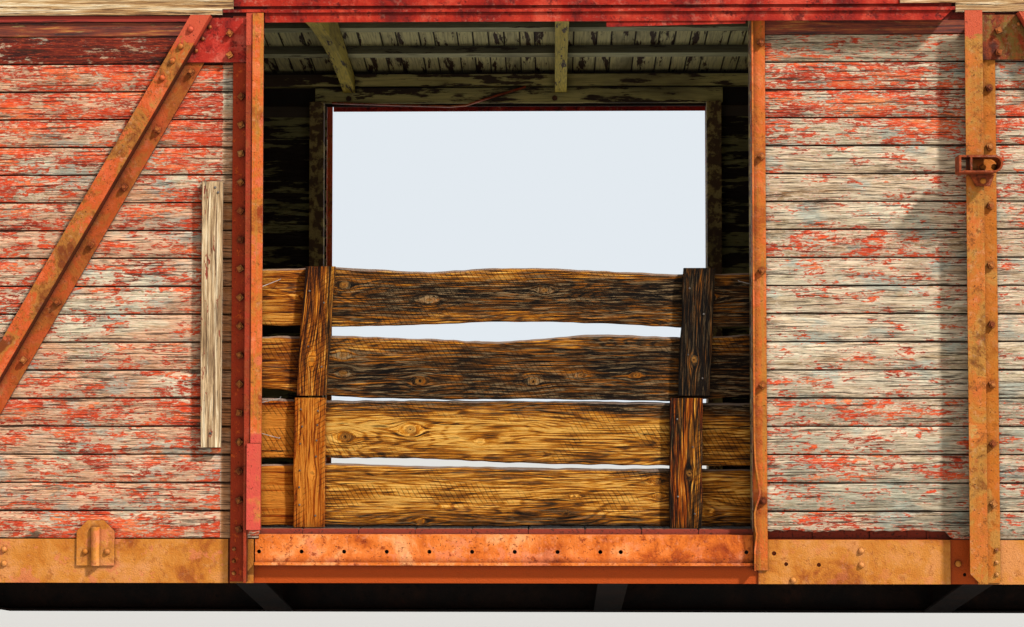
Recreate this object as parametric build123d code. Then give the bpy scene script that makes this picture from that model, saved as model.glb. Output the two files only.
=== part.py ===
"""An old wooden boxcar: steel underframe, outside steel bracing, boarded sides, two swivelling trucks.

Millimetres. X runs along the car, Y across it (the photographed side is -Y) and Z up, with the
origin on the floor, under the middle of the car. The lowest points are the tips of the wheel flanges.
"""

from build123d import *
import math
import os

os.makedirs("parts", exist_ok=True)

# Wheels and axles
TREAD_R = 419.0
FLANGE_H = 25.0
WHEEL_INNER_Y = 676.5
RIM_W = 140.0
FLANGE_T = 32.0
RIM_INNER_R = 362.0
WHEEL_PLATE_T = 26.0
HUB_R = 122.0
HUB_OVERHANG = 20.0
AXLE_R = 70.0
WHEEL_SEAT_R = 86.0
DUST_SEAT_R = 76.0
JOURNAL_R = 64.0
JOURNAL_FIT = 0.1
AXLE_Z = TREAD_R + FLANGE_H

# Trucks
TRUCK_X = 4800.0
WHEELBASE = 1676.0
JOURNAL_Y = 990.0
BAR_W = 114.0
BAR_T = 36.0
BOX_L = 230.0
BOX_H = 290.0
BOX_INNER_Y = 895.0
BOX_OUTER_Y = 1108.0
COLUMN_X = 180.0
COLUMN_T = 70.0
BOLSTER_HALF_W = 165.0
TRUCK_BOLSTER_TOP = 640.0
BOLSTER_END_H = 140.0
BOLSTER_MIDDLE_H = 230.0
BOLSTER_TAPER = (560.0, 880.0)
BOWL_R = 167.0
BOWL_WALL = 32.0
BOWL_H = 22.0
CENTRE_PLATE_R = 165.0
SEAT_GAP = 0.3
KINGPIN_R = 22.0
PIN_FIT = 0.1
SPRING_R = 74.0
SHOE_GAP = 8.0

# Underframe
SILL_BOTTOM = 935.0
SILL_DEPTH = 203.0
SILL_T = 8.0
SILL_FLANGE = 60.0
SILL_PLATE_T = 8.0
CENTRE_WEB_Y = 157.0
CENTRE_WEB_T = 10.0
CENTRE_FLANGE = 70.0
CENTRE_BOTTOM_MIDDLE = 683.0
CENTRE_BOTTOM_END = 800.0
BELLY_HALF = 3100.0
BELLY_RISE_END = 3900.0
STRINGER_H = 80.0
STRINGER_Y = (470.0, 900.0)
END_SILL_BOTTOM = 880.0
END_SILL_FLANGE = 80.0
COUPLER_Z = 901.0

# Body
HALF_LENGTH = 6210.0
HALF_WIDTH = 1352.0
BOARD_T = 44.0
BOARD_PITCH = 130.0
COURSES = 18
GROOVE = 5.0
FLOOR_T = 44.0
TOP_STRIP_H = 69.0
PLATE_H = 193.0
PLATE_T = 10.0
BAR_DEPTH = 76.0
BAR_FLANGE = 76.0
BAR_WALL = 8.0
POST_X = (1694.0, 3440.0, 4800.0)
CORNER_WEB_INSET = 20.0
CORNER_LEG = 100.0
POST_FOOT = 943.0
DOOR_LEFT = -1609.0
DOOR_RIGHT = 642.0
BOARDS_LEFT = -1640.0
GUSSET_T = 8.0
GUSSET_LOW = 3354.0
GUSSET_HIGH = 3562.0
BRACE_GAP = 13.0

# Roof
ROOF_RISE = 215.0
ROOF_BOARD_T = 22.0
SHEET_T = 4.0
EAVE_OVER = 26.0
FASCIA_T = 20.0
ROOF_END_OVER = 24.0
PURLIN_H = 45.0
CARLINE_DEPTH = 90.0
CARLINE_RISE = 95.0
CARLINE_W = 70.0
CARLINE_PHASE = -230.0
CARLINE_PITCH = 1270.0
CARLINE_END_GAP = 400.0
SEAM_PITCH = 610.0
SEAM_W = 40.0
SEAM_H = 22.0
WALK_PLANK_W = 155.0
WALK_GAP = 8.0
WALK_T = 28.0
WALK_RISE = 58.0
SADDLE_PITCH = 1220.0

CLEAR = 2.0

SILL_TOP = SILL_BOTTOM + SILL_DEPTH
FLOOR_TOP = SILL_TOP + FLOOR_T
BOARDS_TOP = SILL_TOP + BOARD_PITCH * COURSES
PLATE_BOTTOM = BOARDS_TOP + TOP_STRIP_H
EAVE = PLATE_BOTTOM + PLATE_H
POST_TOP = PLATE_BOTTOM + 25.0
BRACE_TOP = PLATE_BOTTOM + 18.0
INSIDE_Y = HALF_WIDTH - BOARD_T
SLOPE = ROOF_RISE / HALF_WIDTH
AXLE_X = WHEELBASE / 2
CORNER_WEB_X = HALF_LENGTH - CORNER_WEB_INSET


def block(x, y, z):
    """A box from three (low, high) pairs."""
    low = (min(x), min(y), min(z))
    size = (abs(x[1] - x[0]), abs(y[1] - y[0]), abs(z[1] - z[0]))
    return Pos(*low) * Box(*size, align=(Align.MIN, Align.MIN, Align.MIN))


def prism(plane, points, length, direction):
    """A polygon on a plane, drawn out along a direction."""
    return extrude(plane * Polygon(*points, align=None), amount=length, dir=direction)


def across(points, x):
    """An outline of (y, z) points drawn out along X from x[0] to x[1]."""
    plane = Plane(origin=(x[0], 0, 0), x_dir=(0, 1, 0), z_dir=(1, 0, 0))
    return prism(plane, points, x[1] - x[0], (1, 0, 0))


def along(points, y):
    """An outline of (x, z) points drawn out along Y from y[0] to y[1]."""
    plane = Plane(origin=(0, y[0], 0), x_dir=(1, 0, 0), z_dir=(0, -1, 0))
    return prism(plane, points, y[1] - y[0], (0, 1, 0))


def upright(points, z):
    """An outline of (x, y) points drawn out along Z from z[0] to z[1]."""
    return prism(Plane.XY.offset(z[0]), points, z[1] - z[0], (0, 0, 1))


def turned(points, centre=(0, 0, 0)):
    """(y, radius) points turned about the line through the centre that runs along Y."""
    plane = Plane(origin=centre, x_dir=(0, 1, 0), z_dir=(1, 0, 0))
    axis = Axis(centre, (0, 1, 0))
    return revolve(plane * Polygon(*points, align=None), axis=axis)


def turned_up(points, centre=(0, 0, 0)):
    """(radius, z) points turned about the vertical line through the centre."""
    plane = Plane(origin=centre, x_dir=(1, 0, 0), z_dir=(0, -1, 0))
    return revolve(plane * Polygon(*points, align=None), axis=Axis(centre, (0, 0, 1)))


def rod(start, end, radius):
    """A round bar between two points."""
    a, b = Vector(*start), Vector(*end)
    plane = Plane(origin=a, z_dir=b - a)
    return extrude(plane * Circle(radius), amount=(b - a).length)


def far_and_near(shapes):
    return shapes + [mirror(s, Plane.XZ) for s in shapes]


def both_ends(shapes):
    return shapes + [mirror(s, Plane.YZ) for s in shapes]


def four_ways(shapes):
    return far_and_near(both_ends(shapes))


def near(shapes):
    return [mirror(s, Plane.XZ) for s in shapes]


def write(name, shapes):
    solids = [s for shape in shapes for s in shape.solids()]
    export_step(Compound(solids), f"parts/{name}.step")


def grooved_outline(length, thickness, pitch, faces=2):
    """A wall's cross-section: boards edge to edge, with a V where two meet. (along, through) points."""
    count = max(1, round(length / pitch))
    step = length / count

    def edge(level, inward):
        points = [(0.0, level)]
        for i in range(1, count):
            middle = i * step
            points += [
                (middle - GROOVE / 2, level),
                (middle, level + inward * GROOVE),
                (middle + GROOVE / 2, level),
            ]
        return points + [(length, level)]

    top = edge(thickness, -1.0)
    bottom = edge(0.0, 1.0) if faces == 2 else [(0.0, 0.0), (length, 0.0)]
    return bottom + top[::-1]


def boards_along_x(x, y, z, pitch):
    """A wall of horizontal boards that run along the car."""
    outline = [(y[0] + t, z[0] + s) for s, t in grooved_outline(z[1] - z[0], y[1] - y[0], pitch)]
    return across(outline, x)


def boards_across(x, y, z, pitch):
    """A wall of horizontal boards that run across the car."""
    outline = [(x[0] + t, z[0] + s) for s, t in grooved_outline(z[1] - z[0], x[1] - x[0], pitch)]
    return along(outline, y)


def z_outline(inner):
    """The bracing bar's section: web on the middle line, one flange on the wall, the other outside."""
    half = BAR_WALL / 2
    points = [
        (-half, 0),
        (BAR_FLANGE, 0),
        (BAR_FLANGE, BAR_WALL),
        (half, BAR_WALL),
        (half, BAR_DEPTH),
        (-BAR_FLANGE, BAR_DEPTH),
        (-BAR_FLANGE, BAR_DEPTH - BAR_WALL),
        (-half, BAR_DEPTH - BAR_WALL),
    ]
    return [(inner * u, v) for u, v in points]


def roof_z(y):
    """The underside of the roof boards."""
    return EAVE + SLOPE * (HALF_WIDTH - abs(y))


# Underframe
def centre_sill_outline():
    return [
        (-HALF_LENGTH + 8 + CLEAR, CENTRE_BOTTOM_END),
        (-BELLY_RISE_END, CENTRE_BOTTOM_END),
        (-BELLY_HALF, CENTRE_BOTTOM_MIDDLE),
        (BELLY_HALF, CENTRE_BOTTOM_MIDDLE),
        (BELLY_RISE_END, CENTRE_BOTTOM_END),
        (HALF_LENGTH - 8 - CLEAR, CENTRE_BOTTOM_END),
    ]


def centre_sill():
    top = SILL_TOP - 10.0
    low = centre_sill_outline()
    web = along(
        low + [(low[-1][0], top), (low[0][0], top)],
        (CENTRE_WEB_Y, CENTRE_WEB_Y + CENTRE_WEB_T),
    )
    lip_y = (CENTRE_WEB_Y + CENTRE_WEB_T, CENTRE_WEB_Y + CENTRE_WEB_T + CENTRE_FLANGE)
    lip = along(low + [(x, z + 12.0) for x, z in low[::-1]], lip_y)
    channel = web + lip
    cover = block(
        (-HALF_LENGTH + 8 + CLEAR, HALF_LENGTH - 8 - CLEAR),
        (-CENTRE_WEB_Y - CENTRE_WEB_T - CENTRE_FLANGE, CENTRE_WEB_Y + CENTRE_WEB_T + CENTRE_FLANGE),
        (top, SILL_TOP),
    )
    return far_and_near([channel]) + [cover]


TRACK_HOLE_R = 9.5
TRACK_HOLE_Z = 1080.0
TRACK_HOLE_FIRST = -1637.0
TRACK_HOLE_PITCH = 197.0
TRACK_HOLES = 9
EXTRA_HOLES = (33.0, 610.0)
# The hole left open in the near sill's web, right of its riveted plate
WEB_HOLE_X = 1610.0
WEB_HOLE_Z = 978.0
WEB_HOLE_R = 8.0


def track_hole_xs():
    """The row of bolt holes along the doorway's foot: an even row, and two odd ones."""
    return [TRACK_HOLE_FIRST + i * TRACK_HOLE_PITCH for i in range(TRACK_HOLES)] + list(EXTRA_HOLES)


def side_sill():
    out = HALF_WIDTH - SILL_PLATE_T
    inner = out - SILL_FLANGE
    outline = [
        (inner, SILL_BOTTOM),
        (out, SILL_BOTTOM),
        (out, SILL_TOP),
        (inner, SILL_TOP),
        (inner, SILL_TOP - SILL_T),
        (out - SILL_T, SILL_TOP - SILL_T),
        (out - SILL_T, SILL_BOTTOM + SILL_T),
        (inner, SILL_BOTTOM + SILL_T),
    ]
    end = HALF_LENGTH - END_SILL_FLANGE - CLEAR
    sill = across(outline, (-end, end))
    for x in track_hole_xs():
        sill -= rod((x, out - SILL_T - 1, TRACK_HOLE_Z), (x, out + 1, TRACK_HOLE_Z), TRACK_HOLE_R)
    ends = [(WEB_HOLE_X, out - SILL_T - 1, WEB_HOLE_Z), (WEB_HOLE_X, out + 1, WEB_HOLE_Z)]
    return [sill] + near([sill - rod(*ends, WEB_HOLE_R)])


SILL_PLATES = (
    # from x, to x: the pieces of the plate that is riveted on the face of the side sill
    (-HALF_LENGTH, -1781.0),
    (-1770.0, -1662.0),
    (665.0, 1544.0),
    (1669.0, HALF_LENGTH),
)


PLATE_HOLES = (
    # x, z, radius: holes left open in the near plates
    (737.0, 1075.0, 10.0),
    (792.0, 1026.0, 9.0),
    (942.0, 1023.0, 9.5),
)


def sill_plates():
    y = (HALF_WIDTH - SILL_PLATE_T, HALF_WIDTH)
    z = (SILL_BOTTOM, SILL_TOP - 1.0)
    far = [block(x, y, z) for x in SILL_PLATES]
    pieces = near(far)
    for x, hole_z, radius in PLATE_HOLES:
        hole = rod((x, -y[1] - 1, hole_z), (x, -y[0] + 1, hole_z), radius)
        pieces = [piece - hole for piece in pieces]
    return far + pieces


def end_sill():
    out = HALF_LENGTH
    outline = [
        (out - END_SILL_FLANGE, END_SILL_BOTTOM),
        (out, END_SILL_BOTTOM),
        (out, SILL_TOP),
        (out - END_SILL_FLANGE, SILL_TOP),
        (out - END_SILL_FLANGE, SILL_TOP - 8),
        (out - 8, SILL_TOP - 8),
        (out - 8, END_SILL_BOTTOM + 8),
        (out - END_SILL_FLANGE, END_SILL_BOTTOM + 8),
    ]
    reach = HALF_WIDTH - SILL_PLATE_T
    sill = along(outline, (-reach, reach))
    sill -= block(
        (out - 2 * END_SILL_FLANGE, out + 1),
        (-115.0, 115.0),
        (END_SILL_BOTTOM - 1, COUPLER_Z + 95.0),
    )
    passage = CENTRE_WEB_Y + CENTRE_WEB_T + CENTRE_FLANGE + CLEAR
    sill -= block(
        (out - 2 * END_SILL_FLANGE, out - 8),
        (-passage, passage),
        (END_SILL_BOTTOM - 1, SILL_TOP + 1),
    )
    return both_ends([sill])


def cross_member(x, width, inner_bottom, flange_w):
    """A tapered web with flanges, from the centre sill to the side sill."""
    y0 = CENTRE_WEB_Y + CENTRE_WEB_T
    y1 = HALF_WIDTH - SILL_PLATE_T - SILL_FLANGE
    top = SILL_TOP - STRINGER_H
    low = SILL_BOTTOM
    inner = y0 + CENTRE_FLANGE
    step = inner_bottom + 14
    web = across(
        [(inner, inner_bottom), (y1, low), (y1, top), (y0, top), (y0, step), (inner, step)],
        (x - width / 2, x + width / 2),
    )
    flange = across(
        [(inner, inner_bottom), (y1, low), (y1, low + 10), (inner, inner_bottom + 10)],
        (x - flange_w / 2, x + flange_w / 2),
    )
    cap = across([(y0, top - 10), (y1, top - 10), (y1, top), (y0, top)], (x - flange_w / 2, x + flange_w / 2))
    return web + flange + cap


CYLINDER_X = 900.0
CYLINDER_Y = 620.0
CYLINDER_Z = 880.0
LEVER_X = CYLINDER_X + 646.0
PULL_ROD_Y = 330.0
PULL_ROD_END = (TRUCK_X - 520.0, 690.0)
PULL_ROD_R = 11.0


def pull_rod_lines():
    """Where the two brake pull rods run, from the floating lever towards the trucks."""
    lines = []
    for way in (-1, 1):
        start = (LEVER_X + 13 + way * 14, PULL_ROD_Y, CYLINDER_Z)
        lines.append((start, (way * PULL_ROD_END[0], PULL_ROD_Y, PULL_ROD_END[1])))
    return lines


CROSS_BEARERS = (
    # x, bottom at the centre sill
    (POST_X[0], CENTRE_BOTTOM_MIDDLE),
    (POST_X[1], CENTRE_BOTTOM_MIDDLE + 50.0),
)


def crossbearers():
    right = [cross_member(x, 10.0, bottom, 140.0) for x, bottom in CROSS_BEARERS]
    middle = [cross_member(0.0, 10.0, CENTRE_BOTTOM_MIDDLE, 140.0)]
    passages = [rod(start, end, PULL_ROD_R + 12) for start, end in pull_rod_lines()]
    pieces = []
    for piece in four_ways(right) + far_and_near(middle):
        for passage in passages:
            piece -= passage
        pieces.append(piece)
    return pieces


def body_bolster():
    arm = cross_member(TRUCK_X, 200.0, CENTRE_BOTTOM_END, 300.0)
    tie = block(
        (TRUCK_X - 150, TRUCK_X + 150),
        (-CENTRE_WEB_Y - CENTRE_WEB_T - CENTRE_FLANGE, CENTRE_WEB_Y + CENTRE_WEB_T + CENTRE_FLANGE),
        (CENTRE_BOTTOM_END - 12, CENTRE_BOTTOM_END),
    )
    seat = TRUCK_BOLSTER_TOP + SEAT_GAP
    casting = turned_up(
        [
            (0, seat - 90),
            (KINGPIN_R, seat - 90),
            (KINGPIN_R, seat),
            (CENTRE_PLATE_R, seat),
            (CENTRE_PLATE_R, seat + 26),
            (120, seat + 60),
            (140, CENTRE_BOTTOM_END - 12),
            (0, CENTRE_BOTTOM_END - 12),
        ],
        (TRUCK_X, 0, 0),
    )
    side_seat = seat + 36.0
    bearing = across(
        [(585, side_seat), (685, side_seat), (685, 862), (585, 850)],
        (TRUCK_X - 70, TRUCK_X + 70),
    )
    bearing -= arm
    return both_ends(far_and_near([arm]) + [tie + casting] + far_and_near([bearing]))


def stringers():
    pieces = []
    low = SILL_TOP - STRINGER_H
    reach = HALF_LENGTH - END_SILL_FLANGE - CLEAR
    for y in STRINGER_Y:
        outline = [
            (y - 4, low),
            (y + 60, low),
            (y + 60, low + 8),
            (y + 4, low + 8),
            (y + 4, SILL_TOP),
            (y - 60, SILL_TOP),
            (y - 60, SILL_TOP - 8),
            (y - 4, SILL_TOP - 8),
        ]
        pieces.append(across(outline, (-reach, reach)))
    return far_and_near(pieces)


def floor_deck():
    x = HALF_LENGTH - BOARD_T - CLEAR
    y = INSIDE_Y - CLEAR
    outline = [
        (-x + s, SILL_TOP + t)
        for s, t in grooved_outline(2 * x, FLOOR_T, 2 * BOARD_PITCH, faces=1)
    ]
    return [along(outline, (-y, y))]


# Walls
def side_boards(x):
    return boards_along_x(x, (INSIDE_Y, HALF_WIDTH), (SILL_TOP, BOARDS_TOP), BOARD_PITCH)


ROT = (
    # x, height above the sill: the ragged edge of the rotted bottom board
    (600.0, -1.0),
    (600.0, 38.0),
    (850.0, 42.0),
    (960.0, 37.0),
    (1100.0, 44.0),
    (1260.0, 40.0),
    (1400.0, 45.0),
    (1530.0, 38.0),
    (1548.0, -1.0),
)


def rotted(boards):
    cut = along([(x, SILL_TOP + h) for x, h in ROT], (INSIDE_Y - 1, HALF_WIDTH + 1))
    return boards - cut


def top_strips():
    z = (BOARDS_TOP, PLATE_BOTTOM)
    y = (INSIDE_Y, HALF_WIDTH)
    left = block((-HALF_LENGTH, BOARDS_LEFT), y, z)
    right = block((DOOR_RIGHT, HALF_LENGTH), y, z)
    return far_and_near([left, right])


def end_boards():
    x = (HALF_LENGTH - BOARD_T, HALF_LENGTH)
    reach = INSIDE_Y - CLEAR
    wall = boards_across(x, (-reach, reach), (SILL_TOP, PLATE_BOTTOM), BOARD_PITCH)
    return both_ends([wall])


def side_plate():
    """The steel plate along the top of each side, with a flange turned in under the roof."""
    out, inner = HALF_WIDTH, HALF_WIDTH - PLATE_T
    outline = [
        (inner, PLATE_BOTTOM),
        (out, PLATE_BOTTOM),
        (out, EAVE),
        (out - 90, EAVE),
        (out - 90, EAVE - PLATE_T),
        (inner, EAVE - PLATE_T),
    ]
    return far_and_near([across(outline, (-HALF_LENGTH, HALF_LENGTH))])


def end_gable():
    reach = HALF_WIDTH - PLATE_T - CLEAR
    top = EAVE - PLATE_T - CLEAR
    inner = HALF_WIDTH - 90 - CLEAR
    outline = [
        (-reach, PLATE_BOTTOM),
        (reach, PLATE_BOTTOM),
        (reach, top),
        (inner, top),
        (inner, roof_z(inner)),
        (0, roof_z(0)),
        (-inner, roof_z(inner)),
        (-inner, top),
        (-reach, top),
    ]
    return both_ends([across(outline, (HALF_LENGTH - PLATE_T, HALF_LENGTH))])


FOOT_CUT = 48.0


def side_post(x):
    """A post of the bracing, with the foot of its outer flange cut off at a slant."""
    plane = Plane(origin=(x, HALF_WIDTH, POST_FOOT))
    post = prism(plane, z_outline(1), POST_TOP - POST_FOOT, (0, 0, 1))
    edge = x - BAR_FLANGE
    corner = [(edge - 1, POST_FOOT - 1), (edge + FOOT_CUT, POST_FOOT - 1), (edge - 1, POST_FOOT + FOOT_CUT)]
    return post - along(corner, (HALF_WIDTH + BAR_DEPTH - BAR_WALL - 1, HALF_WIDTH + BAR_DEPTH + 1))


def side_posts():
    right = [side_post(x) for x in POST_X]
    left = [mirror(s, Plane.YZ) for s in right]
    cope = block(
        (-POST_X[0] + BAR_WALL, -POST_X[0] + BAR_FLANGE + 1),
        (HALF_WIDTH + BAR_WALL, HALF_WIDTH + BAR_DEPTH + 1),
        (POST_FOOT - 1, FLOOR_TOP),
    )
    left[0] -= cope
    return far_and_near(right + left)


PANELS = (
    # post at the brace's top, post at its foot, direction from top to foot
    (POST_X[0], POST_X[1], 1),
    (POST_X[1], POST_X[2], 1),
    (CORNER_WEB_X, POST_X[2], -1),
)


def brace_angle(top_x, foot_x):
    """The lean that fits a bar of the bracing's full width between two posts."""
    run = abs(foot_x - top_x) - 2 * (BAR_FLANGE + BRACE_GAP)
    height = BRACE_TOP - SILL_TOP
    full = math.hypot(run, height)
    return math.acos(2 * BAR_FLANGE / full) - math.atan2(height, run)


def brace_web_x(top_x, foot_x, way, z):
    """Where the middle line of a brace's web stands at a height."""
    lean = brace_angle(top_x, foot_x)
    start = top_x + way * (BAR_FLANGE + BRACE_GAP + BAR_FLANGE / math.cos(lean))
    return start + way * (BRACE_TOP - z) * math.tan(lean)


def diagonal(top_x, foot_x, way):
    lean = brace_angle(top_x, foot_x)
    above = 200.0
    start = (brace_web_x(top_x, foot_x, way, BRACE_TOP + above), HALF_WIDTH, BRACE_TOP + above)
    down = Vector(way * math.sin(lean), 0, -math.cos(lean))
    lower_side = Vector(-way * math.cos(lean), 0, -math.sin(lean))
    plane = Plane(origin=start, x_dir=lower_side, z_dir=lower_side.cross(Vector(0, 1, 0)))
    length = (BRACE_TOP + above - POST_FOOT) / math.cos(lean) + 200
    bar = prism(plane, z_outline(1), length, down)
    low, high = sorted((top_x, foot_x))
    gap = BAR_FLANGE + 4
    panel = block(
        (low + gap, high - gap),
        (HALF_WIDTH - 1, HALF_WIDTH + BAR_DEPTH + 1),
        (POST_FOOT + 6, BRACE_TOP),
    )
    return bar & panel


def diagonals():
    return four_ways([diagonal(*panel) for panel in PANELS])


def gusset(top_x, foot_x, way):
    """The plate that ties a brace's top to its post, over both inner flanges."""
    lean = brace_angle(top_x, foot_x)
    edge = (BAR_WALL / 2) / math.cos(lean) + CLEAR
    post = top_x + way * (BAR_WALL / 2 + CLEAR)
    points = [
        (post, GUSSET_LOW),
        (brace_web_x(top_x, foot_x, way, GUSSET_LOW) - way * edge, GUSSET_LOW),
        (brace_web_x(top_x, foot_x, way, GUSSET_HIGH) - way * edge, GUSSET_HIGH),
        (post, GUSSET_HIGH),
    ]
    y0 = HALF_WIDTH + BAR_WALL
    return along(points, (y0, y0 + GUSSET_T))


def gussets():
    return four_ways([gusset(*panel) for panel in PANELS])


def corner_posts():
    """An angle round each corner, outside the boards."""
    out_x, out_y = HALF_LENGTH + 8, HALF_WIDTH + 8
    outline = [
        (out_x, out_y),
        (out_x - CORNER_LEG, out_y),
        (out_x - CORNER_LEG, HALF_WIDTH),
        (HALF_LENGTH, HALF_WIDTH),
        (HALF_LENGTH, out_y - CORNER_LEG),
        (out_x, out_y - CORNER_LEG),
    ]
    return four_ways([upright(outline, (SILL_BOTTOM + 10, POST_TOP))])


END_POST_Y = 440.0


def end_posts():
    plane = Plane(origin=(HALF_LENGTH, END_POST_Y, POST_FOOT), x_dir=(0, 1, 0), z_dir=(0, 0, -1))
    post = prism(plane, z_outline(-1), POST_TOP - POST_FOOT, (0, 0, 1))
    return four_ways([post])


# Doorway
DOORPOST_LEG = 65.0
DOORPOST_PROUD = 38.0
DOORPOST_T = 8.0
DOORPOST_FOOT = SILL_TOP - 140.0
LEG_BEND = (
    # height, how far the near doorpost's edge is knocked in over the wall there
    (DOORPOST_FOOT, 0.0),
    (1088.0, 0.0),
    (1165.0, 9.0),
    (1203.0, 2.0),
    (1261.0, 0.0),
    (1299.0, 9.0),
    (1328.0, 20.0),
    (1357.0, 25.0),
    (1395.0, 20.0),
    (1443.0, 12.0),
    (1491.0, 5.0),
    (1600.0, 0.0),
    (PLATE_BOTTOM - 2.0, 0.0),
)
STOP_T = 5.0
JAMB_W = 85.0
JAMB_D = 76.0
JAMB_BACK = 10.0


def bent_leg():
    """The standing leg of the near doorpost, with its edge knocked in low down."""
    root = HALF_WIDTH + DOORPOST_T
    tip = HALF_WIDTH + DOORPOST_PROUD
    sections = []
    for z, bend in LEG_BEND:
        points = [
            (DOOR_RIGHT, root),
            (DOOR_RIGHT + DOORPOST_T, root),
            (DOOR_RIGHT + DOORPOST_T + bend, tip),
            (DOOR_RIGHT + bend, tip),
        ]
        sections.append(Plane.XY.offset(z) * Polygon(*points, align=None))
    return loft(sections, ruled=True)


def door_angles():
    """The light angle at the right jamb and the door-stop strips on the left post."""
    z = (DOORPOST_FOOT, PLATE_BOTTOM - 2)
    root = HALF_WIDTH + DOORPOST_T
    flat = block((DOOR_RIGHT, DOOR_RIGHT + DOORPOST_LEG), (HALF_WIDTH, root), z)
    standing = block((DOOR_RIGHT, DOOR_RIGHT + DOORPOST_T), (root, HALF_WIDTH + DOORPOST_PROUD), z)
    face = HALF_WIDTH + BAR_DEPTH
    post_edge = -POST_X[0] + BAR_FLANGE
    stop = block((post_edge - 50, post_edge), (face, face + STOP_T), (FLOOR_TOP + 400, POST_TOP))
    patch_z = (FLOOR_TOP + 3, FLOOR_TOP + 398)
    patch = block((post_edge - 66, post_edge - 2), (face, face + STOP_T + 3), patch_z)
    return [flat + standing, stop, patch] + near([flat, bent_leg(), stop, patch])


def jambs():
    """Timbers behind the doorway's edges; the left ones stand back from the ends of the boards."""
    y = (INSIDE_Y - JAMB_D, INSIDE_Y)
    z = (FLOOR_TOP, PLATE_BOTTOM + 14)
    face = BOARDS_LEFT - JAMB_BACK
    left = block((face - JAMB_W, face), y, z)
    right = block((DOOR_RIGHT, DOOR_RIGHT + JAMB_W), y, z)
    return far_and_near([left, right])


def header_planks():
    y = (HALF_WIDTH - PLATE_T - BOARD_T, HALF_WIDTH - PLATE_T)
    z = (PLATE_BOTTOM + 16, PLATE_BOTTOM + 106)
    return far_and_near([block((DOOR_LEFT - 100, DOOR_RIGHT + 100), y, z)])


BENT_STRIP = (
    # x, z of the strip's underside: it has come loose at the right and bends up
    (-1605.0, 3556.0),
    (-900.0, 3532.0),
    (-800.0, 3540.0),
    (-440.0, 3650.0),
)
STRIP_W = 42.0
STRIP_T = 8.0


def bent_strip():
    """The flat strip under the far header plank, torn loose at its right end and bent up."""
    y1 = HALF_WIDTH - PLATE_T - BOARD_T - SEAT_GAP
    upper = [(x, z + STRIP_T) for x, z in BENT_STRIP[::-1]]
    return [along(list(BENT_STRIP) + upper, (y1 - STRIP_W, y1))]


THRESHOLD_X = (-1655.0, 640.0)
THRESHOLD_T = 10.0
SHELF_DEPTH = 34.0
SHELF_Z = SILL_BOTTOM + 84.0
LIP_H = 20.0


def threshold():
    """The angle along the foot of the doorway, with its row of bolt holes."""
    back = HALF_WIDTH - SILL_PLATE_T
    out = back + THRESHOLD_T
    outline = [
        (back, SHELF_Z),
        (back + SHELF_DEPTH, SHELF_Z),
        (back + SHELF_DEPTH, SHELF_Z + 12),
        (out, SHELF_Z + 12),
        (out, SILL_TOP),
        (back, SILL_TOP),
    ]
    lip = [
        (back, SILL_TOP),
        (out, SILL_TOP),
        (out, SILL_TOP + LIP_H),
        (back - 36, SILL_TOP + LIP_H),
        (back - 36, SILL_TOP + LIP_H - 6),
        (back, SILL_TOP + LIP_H - 6),
    ]
    angle = across(outline, THRESHOLD_X) + across(lip, (BOARDS_LEFT + CLEAR, THRESHOLD_X[1]))
    for x in track_hole_xs():
        angle -= rod((x, back - 1, TRACK_HOLE_Z), (x, out + 1, TRACK_HOLE_Z), TRACK_HOLE_R)
    return far_and_near([angle])


HOOD_X = (-1612.0, 1572.0)
HOOD_BACK_X = (-1818.0, 1586.0)
HOOD_UPPER_X = (-1767.0, 1330.0)
HOOD_DEPTH = 72.0
HOOD_BACK_T = 5.0
FLASHING_TOP = PLATE_BOTTOM + 54.0
UPPER_FOOT = PLATE_BOTTOM + 70.0
SAG_X = (-30.0, 612.0)
SAG_H = (26.0, 12.0)


def door_hood():
    """The track over the doorway: a back plate, a top, and a face that hangs down, cut off at a slant."""
    y = HALF_WIDTH
    low = PLATE_BOTTOM - 18
    top = PLATE_BOTTOM + 38
    outline = [
        (y, top - 5),
        (y + HOOD_DEPTH - 5, top - 5),
        (y + HOOD_DEPTH - 5, low),
        (y + HOOD_DEPTH, low),
        (y + HOOD_DEPTH, top - 12),
        (y + HOOD_DEPTH + 8, top - 12),
        (y + HOOD_DEPTH + 8, top),
        (y + HOOD_BACK_T, top),
        (y + HOOD_BACK_T, top + 70),
        (y, top + 70),
    ]
    hood = across(outline, HOOD_X)
    slant = 60.0
    cut = along(
        [(HOOD_X[1] - slant, low - 1), (HOOD_X[1] + 1, low - 1), (HOOD_X[1] + 1, top + 1)],
        (y + 10, y + HOOD_DEPTH + 20),
    )
    hood -= cut
    flashing = block(HOOD_BACK_X, (y, y + 20), (top + 2, FLASHING_TOP))
    flashing -= hood
    upper = block(HOOD_UPPER_X, (y + HOOD_BACK_T, y + 13), (UPPER_FOOT, top + 70))
    return far_and_near([hood, upper] + flashing.solids()) + near([sagging_strip(low)])


def sagging_strip(top):
    """A strip of the track that hangs a little below the hood's face, lower at its left end."""
    y = HALF_WIDTH + HOOD_DEPTH
    outline = [
        (SAG_X[0], top - SAG_H[0]),
        (SAG_X[1], top - SAG_H[1]),
        (SAG_X[1], top + 8),
        (SAG_X[0], top + 8),
    ]
    return along(outline, (y - 8, y - 5))


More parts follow.
